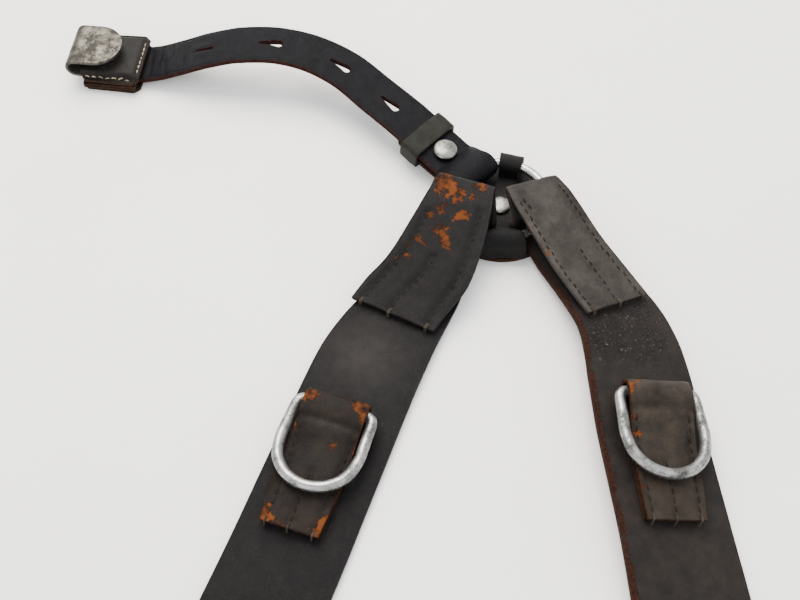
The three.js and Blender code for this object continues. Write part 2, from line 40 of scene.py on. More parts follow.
# ---- sizes shared with the CAD ---------------------------------------------------------------
PAD_RADIUS = 28
PAD_THICK = 2.4
RING_RADIUS = 21
RING_WIRE = 4.2
RING_Z = 9.2
STRAP_THICK = 2.6
STRIP_THICK = 1.8
CHAPE_THICK = 2.0
KEEPER_THICK = 1.6
KEEPER_LENGTH = 10.4        # of the rear keeper, along its strap
KEEPER_TRAVEL = 4           # how far it slides
GAP = 0.3
SHOULDER_WIDTH = 45
NARROW_WIDTH = 22
LOOP_WIDTH = 20
LEFT_ANGLE, RIGHT_ANGLE, REAR_ANGLE = 220, 320, 132
DRING_HALF_WIDTH = 16.3
DRING_DEPTH = 35.6
DRING_WIRE = 4.6
HOOK_THICK = 1.8
HOOK_WIDTH = 25
HOOK_GAP = 6.4
PATCH_LENGTH = 29
PATCH_WIDTH = 33
PATCH_THICK = 1.8
STUD_HEAD_RADIUS = 5.4
STUD_SHANK_RADIUS = 1.9
FRONT_BAR_Y = -588
FRONT_LOW = 3.9
FRONT_X = {"left": -150, "right": 70}
FRONT_STUD_Y = FRONT_BAR_Y + 18
REAR_STUD = 15.5
LOOP_LOW = PAD_THICK + GAP + 0.5 + STRAP_THICK / 2


def rgb(code):
    """A linear colour from a hexadecimal sRGB one."""
    channels = [int(code[i : i + 2], 16) / 255 for i in (0, 2, 4)]
    return tuple(c / 12.92 if c < 0.04045 else ((c + 0.055) / 1.055) ** 2.4 for c in channels)


# ---- curves and frames -----------------------------------------------------------------------
def unit(v):
    return v / np.linalg.norm(v, axis=-1, keepdims=True)


class Curve:
    """A centripetal Catmull-Rom curve; position t is a knot number."""

    def __init__(self, knots, closed=False):
        k = np.array(knots, float)
        self.last = len(k) if closed else len(k) - 1
        before, after = (k[-1:], k[:2]) if closed else (2 * k[:1] - k[1:2], 2 * k[-1:] - k[-2:-1])
        self.knots = np.vstack([before, k, after])

    def at(self, t):
        """Points and slopes at the positions t."""
        t = np.clip(np.asarray(t, float), 0, self.last)
        i = np.minimum(t.astype(int), self.last - 1)
        u = (t - i)[:, None]
        p0, p1, p2, p3 = (self.knots[i + n] for n in range(4))
        spans = [np.linalg.norm(b - a, axis=1)[:, None] ** 0.5 for a, b in ((p0, p1), (p1, p2), (p2, p3))]
        d1 = np.where(spans[1] < 1e-4, 1.0, spans[1])
        d0, d2 = (np.where(d < 1e-4, d1, d) for d in (spans[0], spans[2]))
        m1 = ((p1 - p0) / d0 - (p2 - p0) / (d0 + d1) + (p2 - p1) / d1) * d1
        m2 = ((p2 - p1) / d1 - (p3 - p1) / (d1 + d2) + (p3 - p2) / d2) * d1
        c2 = -3 * p1 + 3 * p2 - 2 * m1 - m2
        c3 = 2 * p1 - 2 * p2 + m1 + m2
        return p1 + m1 * u + c2 * u**2 + c3 * u**3, m1 + 2 * c2 * u + 3 * c3 * u**2


class Path:
    """The line of a strap: knots are x, y, z, width, heading and bank of the width, in degrees."""

    def __init__(self, knots):
        rows = np.array([[*k, 0][:6] for k in knots], float)
        self.line = Curve(rows[:, :3])
        self.lie = Curve(rows[:, 3:])
        self.t = np.linspace(0, self.line.last, self.line.last * 60 + 1)
        points = self.line.at(self.t)[0]
        self.s = np.concatenate([[0], np.cumsum(np.linalg.norm(np.diff(points, axis=0), axis=1))])
        self.length = self.s[-1]

    def s_at(self, index):
        return float(np.interp(index, self.t, self.s))

    def s_near(self, x, y, first, last):
        """Distance along the path of its point nearest to x, y, between two knots."""
        t = np.linspace(first, last, 400)
        points = self.line.at(t)[0]
        return self.s_at(t[np.argmin(np.hypot(points[:, 0] - x, points[:, 1] - y))])

    def frame(self, s):
        """Point, along, across, up and width at the distances s."""
        t = np.interp(s, self.s, self.t)
        point, slope = self.line.at(t)
        width, heading, bank = self.lie.at(t)[0].T
        heading, bank = np.radians(heading), np.radians(bank)
        across = np.stack([np.cos(heading) * np.cos(bank), np.sin(heading) * np.cos(bank), np.sin(bank)], 1)
        along = unit(slope)
        return point, along, across, unit(np.cross(along, across)), width


def frame_matrix(point, along, up):
    """Local Y runs along, Z up and X across, squared off."""
    m = np.eye(4)
    m[:3, 0], m[:3, 1], m[:3, 2], m[:3, 3] = np.cross(along, up), along, up, point
    return m


def matrix_at(path, index, face_up=True):
    point, along, _, up, _ = (a[0] for a in path.frame([path.s_at(index)]))
    return frame_matrix(point, along, -up if face_up and up[2] < 0 else up)


def turn(axis, degrees):
    return np.array(Matrix.Rotation(math.radians(degrees), 4, axis))


def shift(x, y, z):
    return np.array(Matrix.Translation((x, y, z)))


def moved(points, matrix):
    return points if matrix is None else points @ matrix[:3, :3].T + matrix[:3, 3]


def wander(points, size, octaves=3, seed=0.0):
    """Smooth noise from about -1 to 1; size is the distance over which it changes, in mm."""
    offset = Vector((seed * 17.3, seed * 5.1, seed * 29.7))
    return np.array([noise.fractal(Vector(p) / size + offset, 0.9, 2.1, octaves) for p in points.tolist()])


def bell(d, width):
    return np.exp(-((d / width) ** 2))


def smooth(x, low, high):
    t = np.clip((x - low) / (high - low), 0, 1)
    return t * t * (3 - 2 * t)


# ---- meshes ----------------------------------------------------------------------------------
def make_object(name, points, faces, sharp=50, **masks):
    """A smooth-shaded mesh object from points in mm. Masks are numbers per point for its material."""
    mesh = bpy.data.meshes.new(name)
    mesh.from_pydata((np.asarray(points) * MM).tolist(), [], faces)
    mesh.shade_smooth()
    mesh.set_sharp_from_angle(angle=math.radians(sharp))
    rest = mesh.attributes.new("rest", "FLOAT_VECTOR", "POINT")
    rest.data.foreach_set("vector", (np.asarray(points, np.float32) * MM).ravel())
    for mask, values in masks.items():
        attribute = mesh.attributes.new(mask, "FLOAT", "POINT")
        attribute.data.foreach_set("value", np.broadcast_to(values, len(points)).astype(np.float32))
    obj = bpy.data.objects.new(name, mesh)
    bpy.context.scene.collection.objects.link(obj)
    return obj


def loft_faces(rings, sides, first=0, closed=False):
    """Quads between rings of points, with end caps unless the rings close on themselves."""
    at = lambda i, c: first + (i % rings) * sides + c % sides
    spans = rings if closed else rings - 1
    faces = [
        (at(i, c), at(i + 1, c), at(i + 1, c + 1), at(i, c + 1)) for i in range(spans) for c in range(sides)
    ]
    if not closed:
        faces.append(tuple(at(0, c) for c in range(sides)))
        faces.append(tuple(at(rings - 1, c) for c in reversed(range(sides))))
    return faces


EDGE_ANGLES = np.radians([60, 30, 0, 0, -30, -60])
EDGE_MASK = [0.6, 1, 1, 1, 1, 0.6]


class Band:
    """A strip of leather or sheet metal along a path, with rounded edges and holes.

    Points have s along the path, v across it and a side: 1 on the face that up points to, -1 on the
    other. Holes are signed distances in s, v. Relief raises the faces, in mm.
    """

    def __init__(self, path, thick, step, across, corner=0.45, width=None, holes=(), fine=()):
        self.path, self.thick, self.corner = path, thick, corner
        self.width = width or (lambda s: path.frame(np.ravel(s))[4].reshape(np.shape(s)))
        rows = self.rows(step, fine)
        widest = float(np.max(self.width(rows)))
        count = int(widest / across) + 1
        self.faces_from(rows, np.linspace(-1, 1, count), holes)

    def rows(self, step, fine):
        """Distances of the cross-sections: even, finer near the ends and in the fine stretches."""
        end = self.path.length
        rows = list(np.linspace(0, end, int(end / step) + 1))
        for low, high, spacing in fine:
            rows = [s for s in rows if not low < s < high]
            rows += list(np.arange(max(low, 0), min(high, end), spacing))
        tips = [self.corner * f for f in (0.06, 0.25, 0.55, 1.0)]
        rows = [s for s in rows if tips[-1] * 1.5 < s < end - tips[-1] * 1.5]
        rows += [0, *tips, *(end - tip for tip in tips), end]
        return np.array(sorted(rows))

    def faces_from(self, rows, columns, holes):
        n, edge_count = len(columns), len(EDGE_ANGLES)
        r = len(rows)
        sides = 2 * n + 2 * edge_count
        s = np.repeat(rows[:, None], n, 1)
        tip = np.clip(np.minimum(rows, self.path.length - rows) / self.corner, 0, 1)
        inset = self.corner * (1 - np.sqrt(1 - (1 - tip) ** 2))
        half = self.width(rows) / 2 - self.corner - inset
        v = columns[None, :] * half[:, None]
        gone = np.zeros((r - 1, n - 1), bool)
        rim = np.zeros((r, n), bool)
        for hole in holes:
            middle = lambda a: (a[:-1, :-1] + a[1:, :-1] + a[:-1, 1:] + a[1:, 1:]) / 4
            inside = hole(middle(s), middle(v)) < 0
            touched, kept = np.zeros((r, n), bool), np.zeros((r, n), bool)
            for i, j in ((0, 0), (0, 1), (1, 0), (1, 1)):
                corner = (slice(i, r - 1 + i), slice(j, n - 1 + j))
                touched[corner] |= inside
                kept[corner] |= ~inside
            edge = touched & kept
            for _ in range(5):
                d = hole(s[edge], v[edge])
                ds = (hole(s[edge] + 0.01, v[edge]) - d) / 0.01
                dv = (hole(s[edge], v[edge] + 0.01) - d) / 0.01
                s[edge] -= d * ds
                v[edge] -= d * dv
            gone |= inside
            rim |= edge
        flat = self.thick / 2 - inset
        corner_v = half[:, None] + self.corner * np.cos(EDGE_ANGLES)
        lift = np.where(np.arange(edge_count) < edge_count / 2, 1, -1)
        edge_h = lift * (flat - self.corner)[:, None].clip(0) + self.corner * np.sin(EDGE_ANGLES)
        edge_h = np.clip(edge_h, -flat[:, None], flat[:, None])
        edge_s = np.repeat(rows[:, None], edge_count, 1)
        edge_mask = np.repeat([EDGE_MASK], r, 0)
        top_h = np.repeat(flat[:, None], n, 1)
        capped = np.repeat((1 - tip)[:, None], n, 1)
        face_mask = np.maximum(np.where(rim, 0.7, 0), capped)
        self.s = np.hstack([s, edge_s, s[:, ::-1], edge_s])
        self.v = np.hstack([v, corner_v, v[:, ::-1], -corner_v])
        self.h = np.hstack([top_h, edge_h, -top_h, -edge_h])
        self.edge = np.hstack([face_mask, edge_mask, face_mask[:, ::-1], edge_mask])
        self.side = np.sign(self.h)
        for name in ("s", "v", "h", "edge", "side"):
            setattr(self, name, getattr(self, name).ravel())
        at = lambda i, c: i * sides + c % sides
        under = lambda j: n + edge_count + (n - 1 - j)
        cell = lambda i, c: (at(i, c), at(i + 1, c), at(i + 1, c + 1), at(i, c + 1))
        self.faces = []
        for i in range(r - 1):
            for c in range(sides):
                if c < n - 1 and gone[i, c]:
                    continue
                j = n - 2 - (c - n - edge_count)
                if 0 <= j < n - 1 and c >= n + edge_count and gone[i, j]:
                    continue
                self.faces.append(cell(i, c))
        for i, j in np.argwhere(gone):
            corners = [(i, j), (i + 1, j), (i + 1, j + 1), (i, j + 1)]
            beyond = [(i, j - 1), (i + 1, j), (i, j + 1), (i - 1, j)]
            for (a, b), (c, d), (k, m) in zip(corners, corners[1:] + corners[:1], beyond):
                if not (0 <= k < r - 1 and 0 <= m < n - 1 and gone[k, m]):
                    self.faces.append((at(a, b), at(c, d), at(c, under(d)), at(a, under(b))))
        self.faces.append(tuple(range(sides)))
        self.faces.append(tuple(at(r - 1, c) for c in reversed(range(sides))))

    def point(self, s, v, h):
        point, _, across, up, _ = self.path.frame(s)
        return point + across * np.asarray(v)[:, None] + up * np.asarray(h)[:, None]

    def build(self, name, relief=None, place=None, masks=None, sharp=50):
        """Makes the object. relief(s, v, side) is in mm, and masks(s, v, side, edge) a dict."""
        self.relief = relief or (lambda s, v, side: np.zeros(len(s)))
        self.place = place
        h = self.h + self.side * self.relief(self.s, self.v, self.side) * (1 - np.clip(self.edge, 0, 1))
        used = np.zeros(len(self.s), bool)
        for face in self.faces:
            used[list(face)] = True
        number = np.cumsum(used) - 1
        faces = [tuple(int(number[k]) for k in face) for face in self.faces]
        points = moved(self.point(self.s[used], self.v[used], h[used]), place)
        found = masks(self.s[used], self.v[used], self.side[used], self.edge[used]) if masks else {}
        return make_object(name, points, faces, sharp, **{"raw": self.edge[used], **found})

    def surface(self, s, v, side, lift):
        """Points on a face, raised by lift, and the way they are raised."""
        s, v = np.asarray(s, float), np.asarray(v, float)
        h = side * (self.thick / 2 + self.relief(s, v, np.full(len(s), side)) + lift)
        up = self.path.frame(s)[3] * side
        points = moved(self.point(s, v, h), self.place)
        return points, up if self.place is None else up @ self.place[:3, :3].T


def teardrop(s, along, length, big=2.0, small=0.5, bend=0.0):
    """Signed distance to a keyhole slot on the middle line: a round end at s that narrows to a slit."""

    def distance(a, b):
        y = (a - s) * along
        x = np.abs(b - bend * np.maximum(y, 0))
        slope = (big - small) / length
        rise = math.sqrt(1 - slope * slope)
        k = -slope * x + rise * y
        round_end = np.hypot(x, y) - big
        slit_end = np.hypot(x, y - length) - small
        side = x * rise + y * slope - big
        return np.where(k < 0, round_end, np.where(k > rise * length, slit_end, side))

    return distance


def tube(centres, out, up, radius, sides, squash=1.0):
    """Points of a round wire: out and up are its cross directions at each centre."""
    a = np.linspace(0, 2 * np.pi, sides, endpoint=False)
    radius = np.broadcast_to(radius, len(centres))[:, None, None]
    ring = np.cos(a)[None, :, None] * out[:, None, :] + squash * np.sin(a)[None, :, None] * up[:, None, :]
    return (centres[:, None, :] + radius * ring).reshape(-1, 3)


class Threads:
    """Sewing thread: one mesh of short rounded stitches."""

    def __init__(self):
        self.points, self.faces = [], []

    def add(self, centres, normals, radius):
        along = unit(np.gradient(centres, axis=0))
        out = unit(np.cross(along, normals))
        up = np.cross(out, along)
        taper = radius * np.sqrt(np.clip(1 - np.linspace(-1, 1, len(centres)) ** 4, 0.15, 1))
        self.faces += loft_faces(len(centres), 8, first=len(self.points) * len(centres) * 8)
        self.points.append(tube(centres, out, up, taper, 8, 0.8))

    def row(self, band, side, start, end, pitch=4.2, radius=0.42, seed=1):
        """Stitches in a row on a band, from start to end, each given as s, v."""
        chance = np.random.default_rng(seed)
        start, end = np.array(start, float), np.array(end, float)
        length = np.linalg.norm(end - start)
        count = max(1, round(length / pitch))
        f = np.linspace(0, 1, 9)
        for k in range(count):
            a, b = (k + 0.1) / count, (k + 0.9) / count
            s, v = (start[:, None] + (end - start)[:, None] * (a + (b - a) * f)[None, :])
            v = v + chance.uniform(-0.3, 0.3) + (f - 0.5) * chance.uniform(-0.5, 0.7)
            lift = -0.5 + (0.62 + chance.uniform(-0.12, 0.12)) * np.sin(np.pi * f) ** 0.55
            points, up = band.surface(s, v, side, lift)
            self.add(points, up, radius * chance.uniform(0.85, 1.1))

    def over_edge(self, band, side, v, drop, radius, at_start=True):
        """A stitch that runs off the end of a band and down to what it is sewn to."""
        f = np.linspace(0, 1, 9)
        reach = 2.6
        s = np.array([reach, reach * 0.75, reach * 0.45, reach * 0.15, 0, 0, 0, 0, 0])
        past = np.array([0, 0, 0, 0, 0.15, 0.5, 0.8, 0.95, 1.0])
        lift = np.array([-0.3, 0.25, 0.4, 0.42, 0.3, -0.3 * drop, -0.6 * drop, -0.9 * drop, -1.1 * drop])
        s = s if at_start else band.path.length - s
        points, up = band.surface(s, np.full(9, v) + 0.3 * f, side, lift)
        off = band.path.frame(s)[1] * (-1 if at_start else 1)
        off = off if band.place is None else off @ band.place[:3, :3].T
        self.add(points + off * past[:, None], unit(up + 0.6 * off * (f > 0.4)[:, None]), radius)

    def build(self, name, finish, slot, body):
        finish_piece(make_object(name, np.vstack(self.points), self.faces), finish, slot, body)


def lathe(name, profile, matrix=None, segments=64, wobble=0.0, sharp=40):
    """A turned shape from a profile of radius and height, closed on its axis."""
    profile = np.array(profile, float)
    angle = np.linspace(0, 2 * np.pi, segments, endpoint=False)
    rings = np.stack(
        [np.outer(profile[:, 0], np.cos(angle)), np.outer(profile[:, 0], np.sin(angle)),
         np.repeat(profile[:, 1:], segments, 1)], 2)
    points = rings.reshape(-1, 3)
    if wobble:
        points = points + wobble * np.stack([wander(points, 6, 2, k) for k in (1, 2, 3)], 1)
    at = lambda i, c: i * segments + c % segments
    last = len(profile) - 1
    cell = lambda i, c: (at(i, c), at(i, c + 1), at(i + 1, c + 1), at(i + 1, c))
    faces = [cell(i, c) for i in range(last) for c in range(segments)]
    faces.append(tuple(reversed(range(segments))))
    faces.append(tuple(at(last, c) for c in range(segments)))
    return make_object(name, moved(points, matrix), faces, sharp)


# ---- materials -------------------------------------------------------------------------------
class Graph:
    """A material's nodes, made one call at a time. Texture sizes are per metre."""

    def __init__(self, name):
        self.material = bpy.data.materials.new(name)
        self.material.use_nodes = True
        self.nodes = self.material.node_tree.nodes
        self.links = self.material.node_tree.links
        self.nodes.clear()
        self.rest = self.attribute("rest", "Vector")

    def node(self, kind, inputs, output=0, **settings):
        made = self.nodes.new("ShaderNode" + kind)
        for key, value in settings.items():
            setattr(made, key, value)
        for key, value in inputs.items():
            socket = made.inputs[key]
            if isinstance(value, bpy.types.NodeSocket):
                self.links.new(value, socket)
            elif socket.type == "RGBA":
                socket.default_value = (*value, 1)
            else:
                socket.default_value = value
        return made.outputs[output]

    def attribute(self, name, output="Fac"):
        return self.node("Attribute", {}, output, attribute_name=name)

    def noise(self, scale, detail, rough, vector=None):
        inputs = {"Vector": vector or self.rest, "Scale": scale, "Detail": detail, "Roughness": rough}
        return self.node("TexNoise", inputs, "Fac")

    def cells(self, scale, vector=None):
        inputs = {"Vector": vector or self.rest, "Scale": scale}
        return self.node("TexVoronoi", inputs, "Distance", feature="DISTANCE_TO_EDGE")

    def stretch(self, x, y, z):
        return self.node("Mapping", {"Vector": self.rest, "Scale": (x, y, z)})

    def calc(self, operation, a, b):
        return self.node("Math", {0: a, 1: b}, operation=operation)

    def times(self, a, b):
        return self.calc("MULTIPLY", a, b)

    def centred(self, value, gain):
        """The value's excess over a half, scaled up."""
        return self.times(self.calc("SUBTRACT", value, 0.5), gain)

    def rise(self, value, low, high, bottom=0.0, top=1.0):
        inputs = {"Value": value, "From Min": low, "From Max": high, "To Min": bottom, "To Max": top}
        return self.node("MapRange", inputs, interpolation_type="SMOOTHSTEP")

    def mix(self, share, a, b):
        return self.node("Mix", {0: share, 6: a, 7: b}, 2, data_type="RGBA")

    def blend(self, share, a, b):
        return self.node("Mix", {0: share, 2: a, 3: b}, 0, data_type="FLOAT")

    def bump(self, height, distance, strength):
        return self.node("Bump", {"Height": height, "Distance": distance, "Strength": strength})

    def surface(self, **inputs):
        names = {key.replace("_", " "): value for key, value in inputs.items()}
        shader = self.node("BsdfPrincipled", names)
        self.links.new(shader, self.nodes.new("ShaderNodeOutputMaterial").inputs["Surface"])
        return self.material


FLAKE_ORANGE, FLAKE_RUST = rgb("5c3013"), rgb("271409")
# Pale grey painted highlight colour: the glints of a crazed finish are painted into the base colour.
CRAZE_PAINTED_HIGHLIGHT = rgb("5b5854")
LEATHER_BUMP = METAL_BUMP = 0.00022     # metres
THREAD_BUMP = 0.0001


def leather(name, dark, light, pale="383431", raw=("180d09", "4d2c1d"), rough=(0.42, 0.62), specular=0.1):
    """Finished leather. Masks: raw is bare cut fibre, wear flaked finish, pale a dull grey rub, and the
    crazing mask a crazed glossy finish whose ridges also get painted highlight glints in the base colour."""
    g = Graph(name)
    dark, light, pale, raw = rgb(dark), rgb(light), rgb(pale), [rgb(code) for code in raw]
    blotch = g.noise(38, 5, 0.6)
    cloud = g.noise(190, 6, 0.6)
    fine = g.noise(1100, 6, 0.7)
    ragged = g.noise(420, 9, 0.72)
    pores = g.rise(g.cells(1500), 0.0, 0.25)
    streaks = g.noise(900, 5, 0.6, g.stretch(1, 0.1, 1))
    raw_mask, wear, crackle = g.attribute("raw"), g.attribute("wear"), g.attribute("crackle")

    colour = g.mix(g.rise(g.blend(0.45, blotch, cloud), 0.38, 0.66), dark, light)
    colour = g.mix(g.rise(streaks, 0.62, 0.8, 0, 0.35), colour, pale)
    dull = g.times(g.attribute("pale"), g.rise(g.blend(0.6, cloud, fine), 0.3, 0.7, 0.35, 1))
    colour = g.mix(dull, colour, pale)
    tatters = g.calc("ADD", g.centred(ragged, 2.4), g.centred(cloud, 2.2))
    flaked = g.times(g.rise(g.calc("ADD", wear, tatters), 0.58, 0.76), g.rise(wear, 0.1, 0.3))
    colour = g.mix(flaked, colour, g.mix(g.rise(cloud, 0.35, 0.65), FLAKE_RUST, FLAKE_ORANGE))
    bare = g.rise(g.calc("ADD", raw_mask, g.centred(ragged, 0.9)), 0.4, 0.72)
    colour = g.mix(bare, colour, g.mix(g.rise(fine, 0.35, 0.68), *raw))

    drift = g.node("TexNoise", {"Vector": g.rest, "Scale": 500.0, "Detail": 4.0}, "Color")
    drift = g.node("VectorMath", {0: drift, 1: (0.0035,) * 3}, operation="MULTIPLY")
    crazed = g.cells(620, g.node("VectorMath", {0: g.rest, 1: drift}))
    # Painted highlight: the crazed ridges get pale grey specks in the base colour, standing in for the glints
    # of a glossy crazed finish.
    painted_glint = g.times(g.rise(crazed, 0.1, 0.4), g.rise(ragged, 0.5, 0.66))
    colour = g.mix(g.times(crackle, g.times(painted_glint, 0.9)), colour, CRAZE_PAINTED_HIGHLIGHT)
    gaps = g.times(crackle, g.rise(crazed, 0.0, 0.14, 0.75, 0.0))
    colour = g.mix(gaps, colour, dark)

    roughness = g.rise(g.blend(0.5, blotch, fine), 0.35, 0.65, *rough)
    roughness = g.blend(crackle, roughness, g.rise(ragged, 0.4, 0.6, 0.22, 0.5))
    roughness = g.blend(flaked, roughness, 0.85)
    roughness = g.blend(bare, roughness, 0.92)

    height = g.blend(0.35, g.blend(0.4, fine, streaks), pores)
    height = g.calc("SUBTRACT", height, g.times(flaked, g.calc("ADD", 0.5, ragged)))
    height = g.calc("ADD", height, g.times(crackle, g.rise(crazed, 0.0, 0.3, -1.8, 0.6)))
    height = g.calc("ADD", height, g.times(bare, g.times(fine, 2.0)))
    relief = g.bump(height, LEATHER_BUMP, 0.9)
    return g.surface(Base_Color=colour, Roughness=roughness, Normal=relief, Specular_IOR_Level=specular)


def metal(name, bright, dull, stain, stained=0.62, rough=(0.22, 0.42), size=1.0):
    """Worn bright metal: cloudy tarnish, dark specks in it, fine scratches and shallow dents."""
    g = Graph(name)
    bright, dull, stain = rgb(bright), rgb(dull), rgb(stain)
    cloud = g.noise(130 * size, 6, 0.65)
    speck = g.noise(950 * size, 8, 0.75)
    dents = g.noise(420 * size, 2, 0.4)
    scratch = g.noise(1500, 4, 0.6, g.stretch(1, 0.08, 0.3))
    colour = g.mix(g.rise(cloud, 0.36, 0.66), bright, dull)
    spotted = g.rise(g.blend(0.45, speck, cloud), stained - 0.06, stained + 0.06)
    spotted = g.calc("MAXIMUM", spotted, g.times(g.attribute("stain"), g.rise(speck, 0.3, 0.6)))
    colour = g.mix(spotted, colour, stain)
    roughness = g.rise(g.blend(0.5, cloud, scratch), 0.35, 0.65, *rough)
    roughness = g.blend(spotted, roughness, 0.7)
    height = g.blend(0.3, g.calc("SUBTRACT", dents, g.times(spotted, 0.35)), scratch)
    metallic = g.rise(spotted, 0, 1, 1.0, 0.45)
    relief = g.bump(height, METAL_BUMP, 0.55)
    return g.surface(Base_Color=colour, Metallic=metallic, Roughness=roughness, Normal=relief)


def thread(name, dark, light):
    """Waxed linen thread, soiled in patches, with its twist."""
    g = Graph(name)
    dirt = g.noise(260, 5, 0.6)
    fibre = g.noise(2600, 4, 0.7)
    wave = {"Vector": g.rest, "Scale": 420.0, "Distortion": 3.0}
    twist = g.bump(g.node("TexWave", wave, "Fac", bands_direction="DIAGONAL"), THREAD_BUMP, 0.7)
    colour = g.mix(g.rise(g.blend(0.4, dirt, fibre), 0.36, 0.62), rgb(dark), rgb(light))
    roughness = g.rise(dirt, 0.3, 0.7, 0.55, 0.8)
    return g.surface(Base_Color=colour, Roughness=roughness, Normal=twist, Specular_IOR_Level=0.1)


def tabletop(name):
    """A pale painted top with faint smudges."""
    g = Graph(name)
    g.rest = g.node("TexCoord", {}, "Object")
    smudge = g.noise(6, 5, 0.6)
    colour = g.mix(g.rise(smudge, 0.3, 0.7), rgb("f6f4f1"), rgb("f2f0ec"))
    roughness = g.rise(smudge, 0.3, 0.7, 0.42, 0.55)
    return g.surface(Base_Color=colour, Roughness=roughness, Specular_IOR_Level=0.3)


def make_finishes():
    """Every finish by name, with its colours as hexadecimal sRGB codes."""
    return {
        "left_strap": leather("left_strap_leather", "090808", "141111", raw=("0e0907", "2c1a11")),
        "right_strap": leather("right_strap_leather", "0b0807", "1a1411", pale="45413c",
                               raw=("170b07", "351d13")),
        "rear_strap": leather("rear_strap_leather", "070609", "101013", raw=("150a09", "38201a"),
                              rough=(0.3, 0.5), specular=0.05),
        "pad": leather("pad_leather_worn", "080707", "110f0e", raw=("160c08", "3f2618"), rough=(0.36, 0.55)),
        "chape": leather("chape_leather_worn", "0b0706", "1a120d", pale="3a332b", raw=("1c0e06", "40230f"),
                         rough=(0.4, 0.62)),
        "keeper": leather("keeper_leather_worn", "0b0b08", "191914", pale="2a2a23", raw=("2c2018", "5b4534")),
        "patch": leather("patch_leather_worn", "0b0907", "18130f", raw=("120b07", "3a271b")),
        "ring": metal("ring_steel", "bdbebc", "8a8b89", "4a453e"),
        "dee": metal("dee_steel", "9c9c99", "5f605d", "2f2d2a", stained=0.56, rough=(0.26, 0.48)),
        "stud": metal("stud_aluminium", "8b8b86", "5e5e59", "383530", stained=0.58, rough=(0.28, 0.5)),
        "hook": metal("hook_steel", "56534c", "37342e", "211e19", stained=0.53, rough=(0.32, 0.58), size=1.3),
        "dark_thread": thread("dark_thread", "0b0907", "1f1914"),
        "tab_thread": thread("tab_end_thread", "1c1813", "3c352b"),
        "light_thread": thread("light_thread", "5d5241", "a89b80"),
        "fluff": leather("edge_fibre", "4a2c22", "8a5f4c"),
    }


def finish_piece(obj, finish, slot, body, *nodes):
    """Gives a piece its finish, hides the CAD nodes it stands for and parents it to the body it rides on;
    slot is not used.
    """
    obj.data.materials.append(FINISHES[finish])
    if nodes:
        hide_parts(*nodes)
    if body:
        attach(obj, body)


# ---- the lines of the straps -----------------------------------------------------------------
def on_ring(radius, degrees, z, width, heading):
    """A knot at a distance and direction from the ring's centre."""
    a = math.radians(degrees)
    return [radius * math.cos(a), radius * math.sin(a), z, width, heading]


def ring_loop(angle, heading_trim):
    """The part of a shoulder strap that goes down through the ring and under it."""
    heading = angle - 270
    return [
        on_ring(13.2, angle, 14.0, LOOP_WIDTH, heading),
        on_ring(13.9, angle, 8.6, LOOP_WIDTH, heading),
        on_ring(15.6, angle, LOOP_LOW + 1.1, LOOP_WIDTH, heading),
        on_ring(RING_RADIUS, angle, LOOP_LOW, LOOP_WIDTH + 1, heading + heading_trim),
    ]


def front_end(x):
    """The narrow front end: over the hook's bar and back below itself."""
    w, low = NARROW_WIDTH, FRONT_LOW
    line = [
        (150, 1.5, SHOULDER_WIDTH), (118, 1.5, 42), (95, 1.8, 30), (78, 3.4, w + 1), (64, 6.4, w),
        (52, low + 3.5, w), (32, low + 3.5, w), (18, low + 3.5, w), (8, low + 4.6, w), (1, low + 6.7, w),
        (-3.4, low + 5.7, w), (-4.9, low + 3.2, w), (-3.4, low + 0.7, w), (0, low, w), (18, low, w),
        (32, low, w), (46, low, w - 2), (49, low, w - 9),
    ]
    return [[x, FRONT_BAR_Y + y, z, width, 0] for y, z, width in line]


W = SHOULDER_WIDTH
LEFT_KNOTS = [
    [-48.5, -58.5, 6.1, 38.5, -26], [-42, -49.5, 7.7, 38.5, -26], [-33.5, -40, 11.2, 37.5, -26],
    [-24.5, -22, 16.6, 33.5, -21], [-19, -8, 20.0, 29, -19], [-15.4, 1.6, 20.0, 25.5, -19],
    [-11.6, -3.2, 17.6, 21, -40],
    *ring_loop(LEFT_ANGLE, 1),
    [-24.5, -25.5, 4.3, 27, -41], [-34.5, -42.5, 3.8, 34, -31], [-49, -64, 3.1, 41.5, -25],
    [-57, -79, 2.5, 44.5, -22],
    [-63.5, -95, 2.2, W, -20.3], [-71.5, -116.7, 2.0, W, -20.3], [-79.5, -138.3, 1.8, W, -20.3],
    [-87.5, -160, 1.6, W, -20.3], [-98, -187, 1.5, W, -20.5], [-111.4, -220.7, 1.5, W, -20],
    [-115.5, -232, 1.5, W, -20], [-119.6, -243.3, 1.5, W, -20], [-134, -288, 1.5, W, -15],
    [-146, -345, 1.5, W, -7], [-150, -395, 1.5, W, 0], *front_end(FRONT_X["left"]),
]
RIGHT_KNOTS = [
    [46, -56.5, 11.5, 30, 25, -10], [39.5, -46, 12.6, 29, 29, -8], [30, -31, 15.1, 27.5, 33, -5],
    [21, -15, 18.8, 26, 30], [15.6, -5, 20.0, 25, 20], [12.2, 1.2, 19.4, 23, 17], [10.8, -3.8, 17.2, 20, 41],
    *ring_loop(RIGHT_ANGLE, -1),
    [24.5, -25, 4.6, 26, 43, -1], [34.8, -40, 6.2, 31.5, 33, -5], [46, -60, 8.1, 38, 21, -9],
    [50.2, -75, 8.3, 42, 11, -10], [51.9, -90, 8.2, 44, 6.3, -10.5], [53.7, -111.7, 7.8, W, 6.3, -11],
    [56.1, -133.3, 7.3, W, 6.3, -11], [58.5, -155, 6.8, W, 6.3, -11], [61.4, -183, 4.4, W, 5, -6],
    [64.6, -220, 1.6, W, 3], [65.2, -232, 1.5, W, 3], [65.8, -244, 1.5, W, 3], [68, -290, 1.5, W, 2],
    [69.6, -345, 1.5, W, 1], [70, -395, 1.5, W, 0], *front_end(FRONT_X["right"]),
]
TAB_FOLD_KNOT, UNDER_RING_KNOT, TAB_END_KNOT = 5.2, 10, 13
FOLD_KNOT = 21
